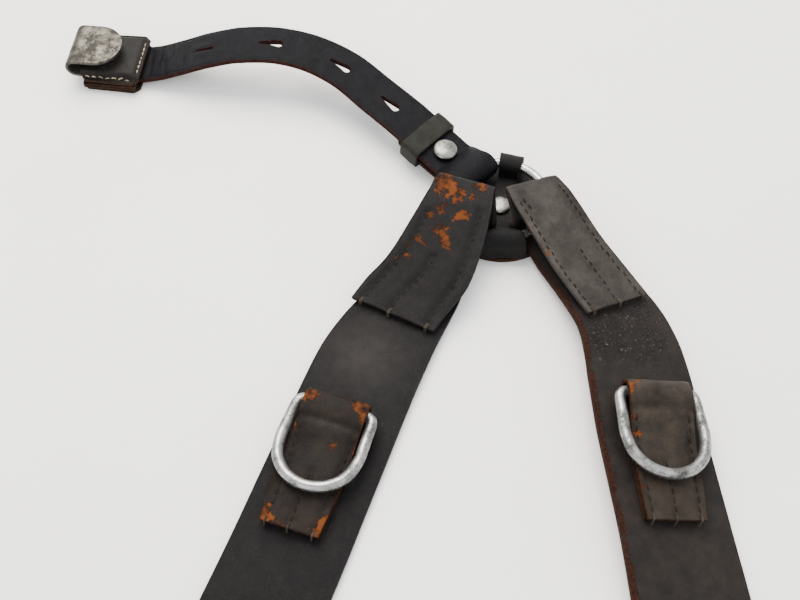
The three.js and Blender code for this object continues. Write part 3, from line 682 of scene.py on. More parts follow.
FOLD_REACH = 14             # distance to each side of the fold at which two points on the strap's line are worked out; they are not used
REAR_FOLD_KNOT, REAR_FOLD_REACH = 23, 9
REAR_STUD_KNOT, REAR_KEEPER_KNOT, REAR_ARCH_KNOT, PATCH_KNOT = 3, 15, 20, 28
CHAPE_KNOT = 15.44
CHAPE_SET = {"left": (3.6, 1.6), "right": (-2.6, -2)}


def rear_knots():
    """The rear strap, from its end below the stud, round the ring and out to the hook."""
    a = math.radians(REAR_ANGLE)
    x0, y0 = RING_RADIUS * math.cos(a), RING_RADIUS * math.sin(a)
    along = unit(np.array([-0.69, 0.724]))
    stack = lambda d, z: [x0 + along[0] * d, y0 + along[1] * d, z]
    low = lambda d: stack(d, LOOP_LOW + 0.1 + 0.1 * d)
    top = lambda d: stack(d, LOOP_LOW + 3.5 + 0.1 * d)
    w, heading = NARROW_WIDTH, REAR_ANGLE - 90
    return [
        [*low(38), w - 8, 43.6], [*low(35), w - 1, 43.6], [*low(25), w, 43.6], [*low(REAR_STUD), w, 43.6],
        [*low(6), w - 1, 43], [x0, y0, LOOP_LOW, LOOP_WIDTH, heading],
        on_ring(15.6, REAR_ANGLE, LOOP_LOW + 1.1, LOOP_WIDTH, heading),
        on_ring(13.9, REAR_ANGLE, 8.8, LOOP_WIDTH, heading),
        [-8.6, 11.2, 12.2, LOOP_WIDTH, heading + 2], [-11.6, 14.4, 13.9, 20.5, heading + 2],
        [*stack(2.5, 12.9), w - 1, 43], [*stack(6, 11.1), w, 43.6], [*stack(9.8, 9.2), w, 43.6],
        [*top(REAR_STUD), w, 43.6], [*top(20), w, 43.6], [*top(26.6), w, 43.6], [*top(33), w, 43.6],
        [*top(41), w, 44], [-56, 58.2, 13.8, w, 49], [-71.5, 72, 16.4, w, 59], [-88, 80.2, 19.0, w, 73],
        [-104, 84, 20.2, w, 83], [-116, 85, 19.8, w, 87], [-120, 85.2, 19.4, w, 87],
        [-124, 85.35, 18.9, w, 87], [-138, 85.6, 15.2, w, 88], [-152, 86, 9.8, w, 87],
        [-164, 86.9, 5.2, w, 85],
        [-171, 87.6, 3.7, w, 84], [-180, 88.55, 3.55, w, 84], [-197, 90.3, 3.55, w, 84],
    ]


STRIP_LOW = PAD_THICK + GAP + 0.05 + STRIP_THICK / 2


def strip_knots():
    """The strip on the pad: over the ring's wire at both ends and under the rivet between."""
    top, z = RING_Z + RING_WIRE / 2 + GAP + STRIP_THICK / 2 + 0.1, RING_Z
    low = STRIP_LOW
    over = [(27, low), (25.6, low + 0.4), (24.75, z - 2.6), (24.5, z + 0.4), (23.5, top - 0.9),
            (21, top + 0.15), (18.4, top - 0.9), (17.4, z + 0.5), (17.1, z - 2.6), (16.2, low + 0.4),
            (14.2, low)]
    cover = [(27.7, low), (26.9, low + 0.9), (26.1, low + 3.0), (25.2, z + 0.6), (23.7, top - 0.8),
             *over[5:]]
    tab = [11, 11, 11, 11, 11, 10.5, 9.5, 9, 8.8, 8.6, 9]
    tail = [21, 20.8, 20.2, 19.6, 19, 17.4, 8, 5.6, 5.6, 5.6, 6.4]
    return [
        *(on_ring(r, 75, height, w, -15) for (r, height), w in zip(over, tab)),
        [1.2, 6, low, 10, -8], [0, 0, low, 11, 0], [0, -6, low, 9.5, 0],
        *reversed([[0, -r, height, w, 0] for (r, height), w in zip(cover, tail)]),
    ]


# ---- shoulder straps -------------------------------------------------------------------------
# Stitch rows on each folded tab as (distance from the tab's end, across), start to end.
TAB_ROWS = {
    "left": [((2.4, -14.8), (50, -11.0)), ((2.4, -2.0), (31, -0.6)), ((2.4, 15.0), (57, 10.6))],
    "right": [((2.4, -12.2), (60, -9.6)), ((2.4, 0.6), (30, 1.6)), ((2.4, 12.0), (63, 10.0))],
}
# Flaked spots on the left tab: distance from its end, across, size and strength.
LEFT_FLAKES = [
    (67, -9, 7.5, 1.1), (64, -3, 6.0, 1.0), (68, 6, 4.0, 0.95), (49, -10, 3.4, 0.75), (54, -6, 3.6, 0.95),
    (58, -2, 2.8, 0.7), (63, 6, 3.4, 0.7), (44, -3, 4.4, 1.0), (53, 3.5, 4.2, 0.95), (40, 1, 4.0, 1.0),
    (36, -9, 3.6, 0.8), (27, -12, 4.6, 0.72), (47, 6, 2.2, 0.6), (31, -13.5, 3.0, 0.62),
]


def flake_mask(s, v, spots):
    """The strongest of some round spots, each given as s, v, size and strength."""
    return np.max([strength * bell(np.hypot(s - s0, v - v0), size) for s0, v0, size, strength in spots], 0)


def groove(s, v, rows, width):
    """1 on the stitch rows, falling to 0 beside them."""
    found = np.zeros(len(s))
    for (s0, v0), (s1, v1) in rows:
        run = np.array([s1 - s0, v1 - v0])
        share = np.clip(((s - s0) * run[0] + (v - v0) * run[1]) / (run @ run), 0, 1)
        found = np.maximum(found, bell(np.hypot(s - s0 - share * run[0], v - v0 - share * run[1]), width))
    return found


def strap_coordinates(s, v, side):
    return np.stack([s, v, side * 40.0], 1)


def front_slots(path, side):
    """The keyhole slots of a front end, and the stretches where the mesh has to be fine."""
    first = path.line.last - 17
    spots = [path.s_near(FRONT_X[side], FRONT_STUD_Y + d, first, first + 8) for d in (0, 38, 56, 74)]
    holes = [teardrop(s, -1, 8.5) for s in spots]
    return holes, [(s - 11, s + 4, 0.5) for s in spots]


def shoulder_strap(side):
    path = Path(LEFT_KNOTS if side == "left" else RIGHT_KNOTS)
    rows = TAB_ROWS[side]
    fold, under, tab_end_below = (path.s_at(k) for k in (TAB_FOLD_KNOT, UNDER_RING_KNOT, TAB_END_KNOT))
    holes, fine = front_slots(path, side)
    fine = [(0, path.s_at(14), 0.9), (path.s_at(14), path.s_at(20), 1.5), *fine]
    band = Band(path, STRAP_THICK, step=2.2, across=1.1, holes=holes, fine=fine)

    def relief(s, v, face):
        at = strap_coordinates(s, v, face)
        half = band.width(s) / 2
        height = 0.12 * wander(at, 16, 3, 1) + 0.035 * wander(at, 3.2, 2, 2)
        height -= 0.22 * smooth(np.abs(v), half - 2.8, half - 0.6)
        tab = (face < 0) * (s < under)
        height -= 0.9 * tab * groove(s, v, rows, 1.9)
        height += 0.14 * tab * bell(s - 7, 9)
        creases = np.sin(s * 2.1 + 3.5 * wander(at, 9, 2, 3)) * bell(s - fold, 8)
        return height + 0.12 * tab * creases

    def masks(s, v, face, edge):
        at = strap_coordinates(s, v, face)
        half = band.width(s) / 2
        tab = (face < 0) * (s < under)
        mottled = wander(at, 11, 3, 4)
        if side == "left":
            wear = tab * flake_mask(s, v, LEFT_FLAKES) + 0.28 * edge * (s < under) * (0.6 + 0.6 * mottled)
            raw = edge * np.where(s < under + 8, 0.55 + 0.3 * mottled, 0.3)
            pale = 0.55 * (face > 0) * bell(s - tab_end_below - 16, 15) * bell(v + 4, 15)
            return {"raw": raw, "wear": wear, "pale": pale + 0.05 * tab}
        near_left = smooth(-v, half - 4.2, half - 1.4)
        raised = (s > under) * (s < path.s_at(19))
        raw = edge * np.where((v < 0) & (s > under), 1.0, 0.25)
        raw = np.maximum(raw, near_left * (tab * 0.08 + raised * (face > 0) * 0.85) * (0.85 + 0.4 * mottled))
        # The crazed finish on the strap's top below the right tab; in the leather shader this mask also
        # paints highlight glints into the colour.
        crackle = (face > 0) * smooth(s, tab_end_below - 8, tab_end_below)
        crackle *= 1 - smooth(s, tab_end_below + 14, tab_end_below + 34)
        crackle *= smooth(np.abs(v + 1), 21, 14) * (0.85 + 0.4 * mottled)
        pale = 0.62 * tab * (0.8 + 0.5 * mottled + 0.5 * near_left) + 0.12 * (face > 0)
        return {"raw": raw, "crackle": crackle, "pale": pale, "wear": 0.3 * tab * near_left}

    strap = band.build(f"{side}_strap", relief, masks=masks)
    finish_piece(strap, f"{side}_strap", "strap_leather", None,
                 f"{side}_strap_rear", f"{side}_strap_front")
    bend = path.s_at(FOLD_KNOT)
    before, after = path.frame([bend - FOLD_REACH, bend + FOLD_REACH])[0] * MM
    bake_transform(strap)
    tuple(before)
    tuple(after)

    seams = Threads()
    for number, (start, end) in enumerate(rows):
        seams.row(band, -1, start, end, pitch=3.6, radius=0.36, seed=10 + number)
    if side == "right":
        seams.row(band, -1, (54.0, -7.6), (60.5, -8.2), pitch=3.4, seed=14)
    seams.build(f"{side}_tab_stitches", "dark_thread", "strap_leather", f"{side}_shoulder")
    ends = Threads()
    for number, ((_, v), _) in enumerate(rows):
        for twin in (-0.35, 0.35):
            ends.over_edge(band, -1, v + twin + 0.2 * number, drop=3.2, radius=0.4)
    ends.build(f"{side}_tab_end_stitches", "tab_thread", "strap_leather", f"{side}_shoulder")
    return path


# ---- D-rings and chapes ----------------------------------------------------------------------
CHAPE_LOW = STRAP_THICK / 2 + 0.35 + CHAPE_THICK / 2
BAR_HEIGHT = STRAP_THICK / 2 + CHAPE_THICK + 0.85 + DRING_WIRE / 2
CHAPE_LINE = [
    (51.5, CHAPE_LOW, 24.5), (38, CHAPE_LOW, 26), (22, CHAPE_LOW, 26.6), (8, CHAPE_LOW, 26.6),
    (1.5, CHAPE_LOW, 26.6), (-2.8, BAR_HEIGHT - 2.75, 26.6), (-3.95, BAR_HEIGHT, 26.6),
    (-2.8, BAR_HEIGHT + 2.75, 26.6), (0.6, BAR_HEIGHT + 3.85, 26.6), (7, BAR_HEIGHT + 2.9, 26.6),
    (14, BAR_HEIGHT + 0.4, 26.6), (21, CHAPE_LOW + 2.35, 26.6), (36, CHAPE_LOW + 2.3, 26),
    (52.5, CHAPE_LOW + 2.3, 24),
]


def chape_place(side, strap_path):
    over, yaw = CHAPE_SET[side]
    return matrix_at(strap_path, CHAPE_KNOT, face_up=False) @ shift(over, 0, 0) @ turn("Z", yaw)


def chape(side, strap_path):
    path = Path([[0, y, z, width, 0] for y, z, width in CHAPE_LINE])
    place = chape_place(side, strap_path)
    band = Band(path, CHAPE_THICK, step=0.8, across=0.8, corner=0.55)
    end = path.length
    bar = path.s_at(7.4)
    crease = path.s_at(9.1)
    seed = 3 if side == "left" else 8
    first = end - 2.4
    last = end - 43
    rows = [((first, -9.6), (last, -11.3)), ((first, 0.3), (end - 24, 0.2)), ((first, 9.6), (last, 11.2))]

    def relief(s, v, face):
        at = strap_coordinates(s, v, face)
        half = band.width(s) / 2
        top = (face < 0) * (s > path.s_at(5))
        height = 0.16 * wander(at, 9, 3, seed) + 0.05 * wander(at, 2.4, 2, seed + 1)
        height -= 0.25 * smooth(np.abs(v), half - 2.0, half - 0.4)
        height -= top * 0.7 * groove(s, v, rows, 1.6)
        height -= top * 0.8 * bell(s - crease - 0.004 * v * v, 1.5)
        height += top * 0.4 * bell(s - crease - 4.5, 3.0) * bell(v, 9)
        return height

    def masks(s, v, face, edge):
        at = strap_coordinates(s, v, face)
        half = band.width(s) / 2
        top = (face < 0) * (s > path.s_at(5))
        mottled = wander(at, 6, 3, seed + 2)
        if side == "left":
            spots = [
                (bar - 1, -10, 5.4, 1.15), (bar + 3.5, -12.5, 4.2, 1.0), (bar, -2, 4.0, 0.55),
                (bar + 1, 10.5, 3.6, 1.1), (end - 2, -11.5, 3.8, 1.1), (end - 7, -12.4, 2.6, 0.9),
                (end - 1.5, 10.5, 3.4, 1.2), (end - 5, 12, 2.6, 1.0), (end - 1, 4, 2.0, 0.6),
                (crease + 9, -4, 3.2, 0.34), (crease + 5, 12.5, 2.5, 0.6), (crease + 7, -12.6, 3.0, 0.8),
            ]
        else:
            spots = [
                (bar + 3, 12, 3.6, 0.7), (crease + 4, 12.6, 4.0, 0.72), (crease + 10, 12.4, 4.0, 0.66),
                (bar, 4, 9.0, 0.36), (bar + 2, -9, 4.0, 0.4), (end - 12, 12, 3.4, 0.62),
                (end - 4, 12, 2.4, 0.5),
            ]
        wear = top * flake_mask(s, v, spots) + 0.35 * edge * (1 + mottled) * (np.abs(v) > half - 3)
        rubbed = (0.5 if side == "right" else 0.1) + 0.4 * bell(s - bar, 6) * (side == "right")
        pale = top * (rubbed + 0.35 * bell(s - crease - 7, 7) * bell(v, 8)) * (0.9 + 0.5 * mottled)
        raw = 0.62 * edge + 0.2 * top * smooth(np.abs(v), half - 1.6, half - 0.3)
        return {"raw": raw, "wear": wear, "pale": pale}

    fold = band.build(f"{side}_chape_fold", relief, place, masks)
    finish_piece(fold, "chape", "chape_leather", f"{side}_shoulder", f"{side}_chape")
    seams = Threads()
    for number, (start, stop) in enumerate(rows):
        seams.row(band, -1, start, stop, pitch=3.9, seed=20 + number + seed)
    seams.build(f"{side}_chape_stitches", "dark_thread", "chape_leather", f"{side}_shoulder")
    ends = Threads()
    for (_, v), _ in rows:
        ends.over_edge(band, -1, v, drop=3.4, radius=0.42, at_start=False)
    ends.build(f"{side}_chape_end_stitches", "tab_thread", "chape_leather", f"{side}_shoulder")


def d_ring(side, strap_path):
    """The D-ring: a round wire, flattened a little where the two ends were welded in the bar."""
    arc = [(DRING_HALF_WIDTH * math.cos(a), DRING_DEPTH - DRING_HALF_WIDTH + DRING_HALF_WIDTH * math.sin(a))
           for a in np.radians(range(0, 181, 30))]
    half = [(0, 0), (6.5, 0), (12.6, 0), (14.2, 0.43), (15.37, 1.6), (15.8, 3.2), (16.05, 8.5), (16.25, 14)]
    outline = [*half, *arc, *((-x, y) for x, y in half[:0:-1])]
    curve = Curve([[x, y, 0] for x, y in outline], closed=True)
    centres, slopes = curve.at(np.linspace(0, curve.last, 220, endpoint=False))
    up = np.repeat([[0.0, 0.0, 1.0]], len(centres), 0)
    out = unit(np.cross(slopes, up))
    seed = 5 if side == "left" else 6
    radius = DRING_WIRE / 2 - 0.03 + 0.05 * wander(centres, 7, 3, seed)
    lying = CHAPE_LOW + 2.3 + CHAPE_THICK / 2 + 0.3 + DRING_WIRE / 2
    lean = math.degrees(math.atan2(lying - BAR_HEIGHT, DRING_DEPTH - 4))
    place = chape_place(side, strap_path) @ shift(0, 0, BAR_HEIGHT) @ turn("X", lean)
    points = tube(centres, out, up, radius, 28)
    inward = np.tile(-np.cos(np.linspace(0, 2 * np.pi, 28, endpoint=False)), len(centres))
    stain = 0.75 * smooth(inward, 0.2, 1.0) * (0.7 + 0.6 * wander(points, 9, 3, seed))
    faces = loft_faces(len(centres), 28, closed=True)
    ring = make_object(f"{side}_dee_wire", moved(points, place), faces, stain=stain)
    finish_piece(ring, "dee", "d_ring_metal", f"{side}_dee", f"{side}_d_ring")


# ---- the ring, the pad and what holds them ---------------------------------------------------
def ring_group():
    a = np.linspace(0, 2 * np.pi, 260, endpoint=False)
    out = np.stack([np.cos(a), np.sin(a), 0 * a], 1)
    up = np.repeat([[0.0, 0.0, 1.0]], len(a), 0)
    centres = RING_RADIUS * out + [0, 0, RING_Z]
    points = tube(centres, out, up, RING_WIRE / 2 - 0.02 + 0.03 * wander(centres, 8, 2, 1), 28)
    ring = make_object("ring_wire", points, loft_faces(len(a), 28, closed=True))
    finish_piece(ring, "ring", "ring_metal", "ring", "o_ring")

    rim = PAD_RADIUS - 0.7
    middle = PAD_THICK / 2
    curl = [(rim + 0.7 * math.sin(t), middle + middle * math.cos(t)) for t in np.linspace(0.2, 2.94, 9)]
    flat = np.linspace(0.02, rim, 34)
    groove_depth = lambda r: 0.16 * math.exp(-(((r - 24.6) / 0.7) ** 2))
    profile = [(r, PAD_THICK - groove_depth(r)) for r in flat] + curl
    profile += [(r, 0.0) for r in flat[::-6]] + [(0.02, 0.0)]
    pad = lathe("back_pad_disc", profile[::-1], segments=150, wobble=0.07, sharp=60)
    co = np.array([v.co for v in pad.data.vertices]) / MM
    radius = np.hypot(co[:, 0], co[:, 1]) + 0.5 * wander(co, 7, 3, 5)
    for mask, share, inner in (("raw", 0.9, 26.3), ("wear", 0.3, 25.8)):
        values = share * smooth(radius, inner, 27.6)
        pad.data.attributes.new(mask, "FLOAT", "POINT").data.foreach_set("value", values.astype(np.float32))
    finish_piece(pad, "pad", "pad_leather", "pad", "back_pad")

    band = Band(Path(strip_knots()), STRIP_THICK, step=0.5, across=0.6, corner=0.4)
    strip = band.build(
        "ring_strip_leather",
        lambda s, v, face: 0.07 * wander(strap_coordinates(s, v, face), 5, 3, 6),
        masks=lambda s, v, face, edge: {"raw": 0.5 * edge, "wear": 0.3 * edge},
    )
    finish_piece(strip, "pad", "pad_leather", "pad", "ring_strip")

    top = STRIP_LOW + STRIP_THICK / 2
    dome = [(4.7 * math.sin(t), top + 0.75 + 1.35 * math.cos(t)) for t in np.linspace(1.5, 0.02, 16)]
    profile = [(0.02, 0.9), (1.6, 0.9), (1.6, top + GAP), (4.3, top + GAP), (4.62, top + GAP + 0.25), *dome]
    rivet = lathe("pad_rivet_head", profile, wobble=0.06)
    finish_piece(rivet, "stud", "stud_metal", "pad", "pad_rivet")


# ---- studs, keepers and hooks ----------------------------------------------------------------
def stud(name, node, matrix, head_z, body):
    r = STUD_HEAD_RADIUS
    bottom = -STRAP_THICK / 2 - 0.2
    angles = np.linspace(1.5, 0.03, 18)
    dome = [(r * 0.97 * math.sin(t), head_z + 0.5 + 1.35 * math.cos(t) ** 0.9) for t in angles]
    shank = STUD_SHANK_RADIUS
    profile = [(0.02, bottom), (3.6, bottom), (3.85, bottom + 0.2), (3.85, bottom + 0.7),
               (shank, bottom + 0.8), (shank, head_z),
               (r - 0.5, head_z), (r - 0.1, head_z + 0.2), (r, head_z + 0.45), *dome]
    piece = lathe(name, profile, matrix, wobble=0.1)
    finish_piece(piece, "stud", "stud_metal", body, node)


def keeper(name, node, matrix, low, high, length, body, lean=0.0):
    """A band of thick leather closed round a strap, a little slack at its sides."""
    half = NARROW_WIDTH / 2 + 0.5 + KEEPER_THICK / 2
    bottom, top = low - 0.35 - KEEPER_THICK / 2, high + 0.35 + KEEPER_THICK / 2
    corner = 1.3
    outline = []
    for cx, cy, first in ((half - corner, top - corner, 90), (half - corner, bottom + corner, 0),
                          (-half + corner, bottom + corner, -90), (-half + corner, top - corner, -180)):
        arc = np.radians([first - t for t in (0, 30, 60, 90)])
        outline += [(cx + corner * math.cos(a), cy + corner * math.sin(a)) for a in arc]
    curve = Curve([[x, 0, z] for x, z in outline], closed=True)
    count = lambda k: 14 if k % 4 == 3 else 4
    t = np.concatenate([np.linspace(k, k + 1, count(k), endpoint=False) for k in range(len(outline))])
    centres, slopes = curve.at(t)
    out = unit(np.cross([0.0, -1.0, 0.0], slopes))
    flip = np.sign(np.sum(out * (centres - [0, 0, (top + bottom) / 2]), 1, keepdims=True))
    out = out * flip
    c, e = KEEPER_THICK / 2, length / 2
    section = [(c, w) for w in np.linspace(-e + 0.5, e - 0.5, 12)] + [(c - 0.12, e - 0.14), (c - 0.5, e)]
    section += [(-c + 0.4, e), (-c + 0.05, e - 0.2)] + [(-c, w) for w in np.linspace(e - 0.6, -e + 0.6, 6)]
    section += [(-c + 0.05, -e + 0.2), (-c + 0.4, -e), (c - 0.5, -e), (c - 0.12, -e + 0.14)]
    section = np.array(section)
    sides = len(section)
    points = centres[:, None, :] + section[None, :, :1] * out[:, None, :]
    points = (points + section[None, :, 1:] * np.array([0.0, 1.0, 0.0])).reshape(-1, 3)
    outer = np.tile(section[:, 0] > 0, len(centres))
    outward = np.repeat(out, sides, 0)
    swell = 0.1 * wander(points, 5, 3, 2) + 0.16 * bell(points[:, 1], length * 0.4)
    points = points + outward * (outer * swell)[:, None]
    points[:, 1] += lean * (points[:, 0] / half)
    edge = np.tile(np.abs(section[:, 1]) > e - 0.3, len(centres)) * 1.0
    faces = loft_faces(len(centres), sides, closed=True)
    pale = 0.25 * outer * (1 + wander(points, 4, 2, 3))
    piece = make_object(name, moved(points, matrix), faces, raw=0.45 * edge, pale=pale)
    normals_point_out(piece)
    finish_piece(piece, "keeper", "keeper_leather", body, node)


def normals_point_out(obj):
    """Turns a closed mesh's faces outward if its volume comes out negative."""
    mesh = obj.data
    mesh.calc_loop_triangles()
    co = np.array([v.co for v in mesh.vertices])
    tri = co[np.array([t.vertices for t in mesh.loop_triangles])]
    if np.einsum("ij,ij->i", tri[:, 0], np.cross(tri[:, 1], tri[:, 2])).sum() < 0:
        mesh.flip_normals()


def hook_path(base, tongue, width):
    """Side line of a belt hook: base plate, half-round bend and the tongue that returns above it."""
    mid = HOOK_THICK / 2
    radius = HOOK_GAP / 2 + mid
    angles = np.radians(range(0, 181, 20))
    bend = [(base + radius * math.sin(a), mid + radius - radius * math.cos(a)) for a in angles]
    line = [(0, mid), (base * 0.35, mid), (base * 0.7, mid), *bend, (base - tongue * 0.5, mid + 2 * radius),
            (base - tongue, mid + 2 * radius)]
    return Path([[0, y, z, width, 0] for y, z in line])


def hook(name, node, matrix, base, tongue, body, barred):
    path = hook_path(base, tongue, HOOK_WIDTH)
    end, r = path.length, HOOK_WIDTH / 2

    def width(s):
        s = np.asarray(s, float)
        from_tip = np.clip(end - s, 0, r)
        tip = 2 * np.sqrt(np.clip(r * r - (r - from_tip) ** 2, 2.2, None))
        plate = HOOK_WIDTH + (31 - HOOK_WIDTH) * (1 - smooth(s, 17, 19)) if barred else HOOK_WIDTH - 0 * s
        return np.minimum(plate, np.where(end - s < r, tip, HOOK_WIDTH + 10))

    def bar_slot(s, v):
        ds, dv = np.abs(s - 8) - 4.2, np.abs(v) - 11.0
        return np.hypot(np.maximum(ds, 0), np.maximum(dv, 0)) + np.minimum(np.maximum(ds, dv), 0) - 0.8

    holes = [bar_slot] if barred else []
    fine = [(end - 13, end, 0.4)] + ([(1, 16, 0.6)] if barred else [])
    band = Band(path, HOOK_THICK - 0.1, step=0.8, across=0.8, corner=0.4, width=width, holes=holes, fine=fine)

    def relief(s, v, face):
        dents = 0.05 * wander(strap_coordinates(s, v, face), 5, 3, 4)
        return dents - 0.12 * smooth(np.abs(v), r - 1.8, r - 0.3)

    def masks(s, v, face, edge):
        at = strap_coordinates(s, v, face)
        inside = (face < 0) * (s > base * 0.8)
        return {"stain": np.clip(0.75 * inside + 0.25 * wander(at, 4, 3, 5) * (1 - edge), 0, 1)}

    piece = band.build(name, relief, matrix, masks)
    finish_piece(piece, "hook", "hook_metal", body, node)


def front_hardware(side):
    x = FRONT_X[side]
    lay = shift(x, FRONT_BAR_Y, FRONT_LOW + 3.2) @ turn("X", 7.8) @ turn("Z", 180)
    lay = lay @ shift(0, -1.5, -HOOK_THICK / 2)
    hook(f"{side}_hook_plate", f"{side}_hook", lay, 40, 24, f"{side}_belt_hook", barred=True)
    stud(f"{side}_stud_head", f"{side}_stud", shift(x, FRONT_STUD_Y, FRONT_LOW), 5.7, f"{side}_front")
    keeper(f"{side}_keeper_band", f"{side}_keeper", shift(x, FRONT_BAR_Y + 33, FRONT_LOW),
           -STRAP_THICK / 2, 3.5 + STRAP_THICK / 2, 10, f"{side}_keeper_loop")


# ---- the rear strap --------------------------------------------------------------------------
def rear_strap():
    path = Path(rear_knots())
    slots = [(13, 8), (17.4, 9), (18.95, 9), (20.95, 9)]
    holes = [teardrop(path.s_at(k), 1, n, bend=0.03) for k, n in slots]
    closed = path.s_at(24.85)
    holes.append(teardrop(closed, 1, 8, big=0.85, small=0.4, bend=0.08))
    stretches = [path.s_at(k) for k, _ in slots] + [closed]
    fine = [(s - 3.5, s + 11.5, 0.45) for s in stretches]
    band = Band(path, STRAP_THICK, step=0.9, across=0.56, holes=holes, fine=fine)
    patch_edge = path.s_at(PATCH_KNOT)
    cracks = [(patch_edge - d, lean, low, high) for d, lean, low, high in
              ((4, 0.1, -9, 7), (8.5, -0.15, -4, 10), (12, 0.1, -10, 0), (17, 0.2, 1, 9), (23, 0.1, -8, -2))]
    arch = path.s_at(REAR_ARCH_KNOT)

    def relief(s, v, face):
        at = strap_coordinates(s, v, face)
        half = band.width(s) / 2
        height = 0.12 * wander(at, 10, 3, 7) + 0.04 * wander(at, 2.6, 2, 8)
        height -= 0.2 * smooth(np.abs(v), half - 2.2, half - 0.4)
        for s0, lean, low, high in cracks:
            height -= (0.34 * bell(s - s0 - lean * v, 0.6) * smooth(v, low - 1, low)
                       * (1 - smooth(v, high, high + 1)))
        for k in stretches:
            height += 0.22 * bell(s - k - 4, 6) * bell(np.abs(v) - 2.6, 1.6)
            height -= 0.2 * bell(s - k - 13, 3.2)
        return height + 0.1 * np.sin(s * 1.15 + 4 * wander(at, 8, 2, 9)) * bell(s - arch, 30) * (face > 0)

    def masks(s, v, face, edge):
        mottled = wander(strap_coordinates(s, v, face), 6, 3, 10)
        inner = (s < path.s_at(9)) * (v > 0)
        raw = edge * (0.75 + 0.3 * mottled) + 0.25 * (face < 0) * (s > path.s_at(9))
        return {"raw": raw, "wear": 0.5 * edge * inner, "pale": 0.25 * (mottled > 0.2) * (face > 0)}

    strap = band.build("rear_strap", relief, masks=masks)
    finish_piece(strap, "rear_strap", "strap_leather", None, "rear_strap_ring_end", "rear_strap_hook_end")
    bend = path.s_at(REAR_FOLD_KNOT)
    before, after = path.frame([bend - REAR_FOLD_REACH, bend + REAR_FOLD_REACH])[0] * MM
    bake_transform(strap)
    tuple(before)
    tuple(after)

    past_keeper = path.s_at(REAR_KEEPER_KNOT) + KEEPER_LENGTH / 2 + KEEPER_TRAVEL + 2
    fluff = edge_fluff(band, past_keeper, patch_edge - 2)
    finish_piece(fluff, "fluff", "strap_leather", None)
    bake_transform(fluff)
    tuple(before)
    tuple(after)

    stud("rear_stud_head", "rear_stud", matrix_at(path, REAR_STUD_KNOT), 6.0, "rear_ring_end")
    keeper("rear_keeper_band", "rear_keeper", matrix_at(path, REAR_KEEPER_KNOT), -3.4 - STRAP_THICK / 2,
           STRAP_THICK / 2, KEEPER_LENGTH, "rear_keeper_loop", lean=0.6)


THIRDS = (0, 2.094, 4.189)      # of a turn, in radians


def edge_fluff(band, first, last):
    """Loose fibres along both cut edges of a strap, as thin tapered spikes."""
    chance = np.random.default_rng(7)
    points, faces = [], []
    for _ in range(620):
        s = np.array([chance.uniform(first, last)])
        side = chance.choice([-1, 1], p=[0.35, 0.65])
        point, along, across, up, width = (a[0] for a in band.path.frame(s))
        root = point + across * side * (width / 2 - 0.12) + up * chance.uniform(-1.0, 1.0)
        lean = unit(across * side + along * chance.uniform(-1.3, 1.3) + up * chance.uniform(-0.9, 0.5))
        length, thick = chance.uniform(0.4, 1.3), chance.uniform(0.05, 0.09)
        bow = along * chance.uniform(-0.3, 0.3)
        u = unit(np.cross(lean, [0.3, 0.5, 0.8]))
        w = np.cross(lean, u)
        first_point = len(points)
        for f, r in ((0, 1.0), (0.5, 0.7), (1, 0.15)):
            centre = root + lean * length * f + bow * length * f * f
            points += [centre + thick * r * (u * math.cos(a) + w * math.sin(a)) for a in THIRDS]
        faces += loft_faces(3, 3, first=first_point)
    return make_object("rear_strap_fluff", np.array(points), faces, raw=1.0)


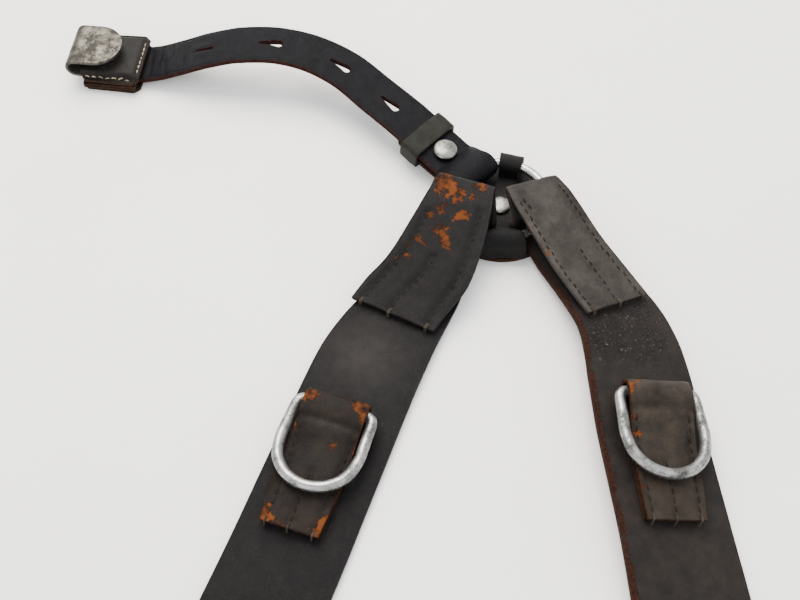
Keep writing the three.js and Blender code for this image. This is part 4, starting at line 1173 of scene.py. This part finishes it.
# ---- rear hook and its patch -----------------------------------------------------------------
def rear_hook_group():
    place = lambda z: shift(-170.5, 87.55, z) @ turn("Z", 174)
    plate_z = 3.55 + STRAP_THICK / 2 + GAP
    cover_z = plate_z + HOOK_THICK + GAP
    lay = place(plate_z) @ turn("Z", -90) @ shift(0, 2, 0)
    hook("rear_hook_plate", "rear_hook", lay, 29, 21, "rear_hook_end", barred=False)

    def octagon(s):
        s = np.asarray(s, float)
        taper = PATCH_WIDTH - 2 * s / PATCH_LENGTH
        return taper - 2 * np.maximum(0, 3 - s) - 2 * np.maximum(0, 3 - (PATCH_LENGTH - s))

    def layer(name, node, z, droop, raised, seed):
        path = Path([[x, 0, PATCH_THICK / 2, PATCH_WIDTH, 90] for x in (0, 10, 20, PATCH_LENGTH)])
        band = Band(path, PATCH_THICK, step=0.7, across=0.7, corner=0.5, width=octagon)
        rows = [((1.6, -10.5), (1.6, 10.5)), ((4, -13.9), (27, -13.2)), ((4, 13.9), (27, 13.2))]
        border = lambda s, v: np.maximum(smooth(np.abs(v), 11.6, 14.2), 0.55 * (1 - smooth(s, 0.5, 4)))

        def relief(s, v, face):
            at = strap_coordinates(s, v, face)
            bulge = raised * (1 - border(s, v)) * (face > 0)
            return bulge + 0.14 * wander(at, 7, 3, seed) - 0.3 * (face > 0) * groove(s, v, rows, 0.7)

        band.h = band.h - droop * border(band.s, band.v)
        masks = lambda s, v, face, edge: {
            "raw": 0.8 * edge, "wear": 0.32 * edge * (1 + wander(strap_coordinates(s, v, face), 5, 2, seed)),
            "pale": 0.3 * (face > 0) * (1 - border(s, v)),
        }
        piece = band.build(name, relief, place(z), masks)
        finish_piece(piece, "patch", "patch_leather", "rear_hook_end", node)
        return band, rows, border

    droop = 2.4
    layer("patch_base_layer", "patch_bottom", 0.0, 0.0, 0.0, 3)
    band, rows, border = layer("patch_cover_layer", "patch_top", cover_z, droop, 0.35, 4)
    seams = Threads()
    surface = band.surface

    def lowered(s, v, side, lift):
        return surface(s, v, side, np.asarray(lift) - droop * border(s, v) * side)

    band.surface = lowered
    for number, (start, stop) in enumerate(rows):
        seams.row(band, 1, start, stop, pitch=3.2, radius=0.36, seed=40 + number)
    seams.build("patch_stitches", "light_thread", "patch_leather", "rear_hook_end")

    for number, across in (("near", 14.7), ("far", -14.7)):
        for layer_number, z in enumerate((1.9, 3.3)):
            path = Path([[x, across, z + 0.62, 3.2, 90] for x in (1.8, 9, 18, 27.4)])
            filler = Band(path, 1.24, step=0.8, across=0.6, corner=0.35)
            piece = filler.build(
                f"patch_filler_{number}_{layer_number + 1}",
                lambda s, v, face: 0.08 * wander(strap_coordinates(s, v, face), 4, 3, 11 + layer_number),
                place(0), lambda s, v, face, edge: {"raw": 0.4 + 0.5 * edge})
            finish_piece(piece, "patch", "patch_leather", "rear_hook_end")


# ---- stage -----------------------------------------------------------------------------------
CAMERA_AT = (-0.0451, -0.29894, 0.40282)
CAMERA_TILT = 32
CAMERA_LENS = 49.5
FLOOR_REACH, FLOOR_Z = 6, -0.0003


def make_stage():
    scene = bpy.context.scene
    camera = bpy.data.objects.new("camera", bpy.data.cameras.new("camera"))
    camera.data.sensor_width, camera.data.lens = 36, CAMERA_LENS
    camera.location = CAMERA_AT
    camera.rotation_euler = (math.radians(CAMERA_TILT), 0, 0)
    scene.collection.objects.link(camera)
    scene.camera = camera

    world = bpy.data.worlds.new("studio")
    world.use_nodes = True
    background = world.node_tree.nodes["Background"]
    background.inputs["Color"].default_value = (*rgb("f4f6fa"), 1)
    background.inputs["Strength"].default_value = 1.75
    scene.world = world

    for name, at, aim, size, power, colour in (
        ("key", (-0.25, 0.75, 1.15), (-0.05, -0.1, 0), 1.1, 46, "fffaf2"),
        ("fill", (0.9, -0.5, 0.9), (0, -0.15, 0), 1.2, 8, "f3f7ff"),
        ("front", (-0.7, -1.1, 0.9), (-0.05, -0.15, 0), 1.2, 7, "ffffff"),
    ):
        lamp = bpy.data.lights.new(name, "AREA")
        lamp.size, lamp.energy, lamp.color = size, power, rgb(colour)
        light = bpy.data.objects.new(name, lamp)
        light.location = at
        light.rotation_euler = (Vector(aim) - Vector(at)).to_track_quat("-Z", "Y").to_euler()
        scene.collection.objects.link(light)

    mesh = bpy.data.meshes.new("floor")
    corners = [(x * FLOOR_REACH, y * FLOOR_REACH, FLOOR_Z) for x, y in ((-1, -1), (1, -1), (1, 1), (-1, 1))]
    mesh.from_pydata(corners, [], [(0, 1, 2, 3)])
    floor = bpy.data.objects.new("floor", mesh)
    floor.data.materials.append(tabletop("tabletop"))
    scene.collection.objects.link(floor)


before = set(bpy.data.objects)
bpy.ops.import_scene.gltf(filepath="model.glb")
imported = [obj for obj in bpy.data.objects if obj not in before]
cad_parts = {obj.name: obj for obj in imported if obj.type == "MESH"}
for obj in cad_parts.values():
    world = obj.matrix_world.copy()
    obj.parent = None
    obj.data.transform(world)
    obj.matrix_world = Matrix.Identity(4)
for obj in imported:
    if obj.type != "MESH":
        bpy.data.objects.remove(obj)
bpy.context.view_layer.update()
make_stage()
FINISHES = make_finishes()
ring_group()
rear_strap()
rear_hook_group()
for hand in ("left", "right"):
    strap_line = shoulder_strap(hand)
    chape(hand, strap_line)
    d_ring(hand, strap_line)
    front_hardware(hand)
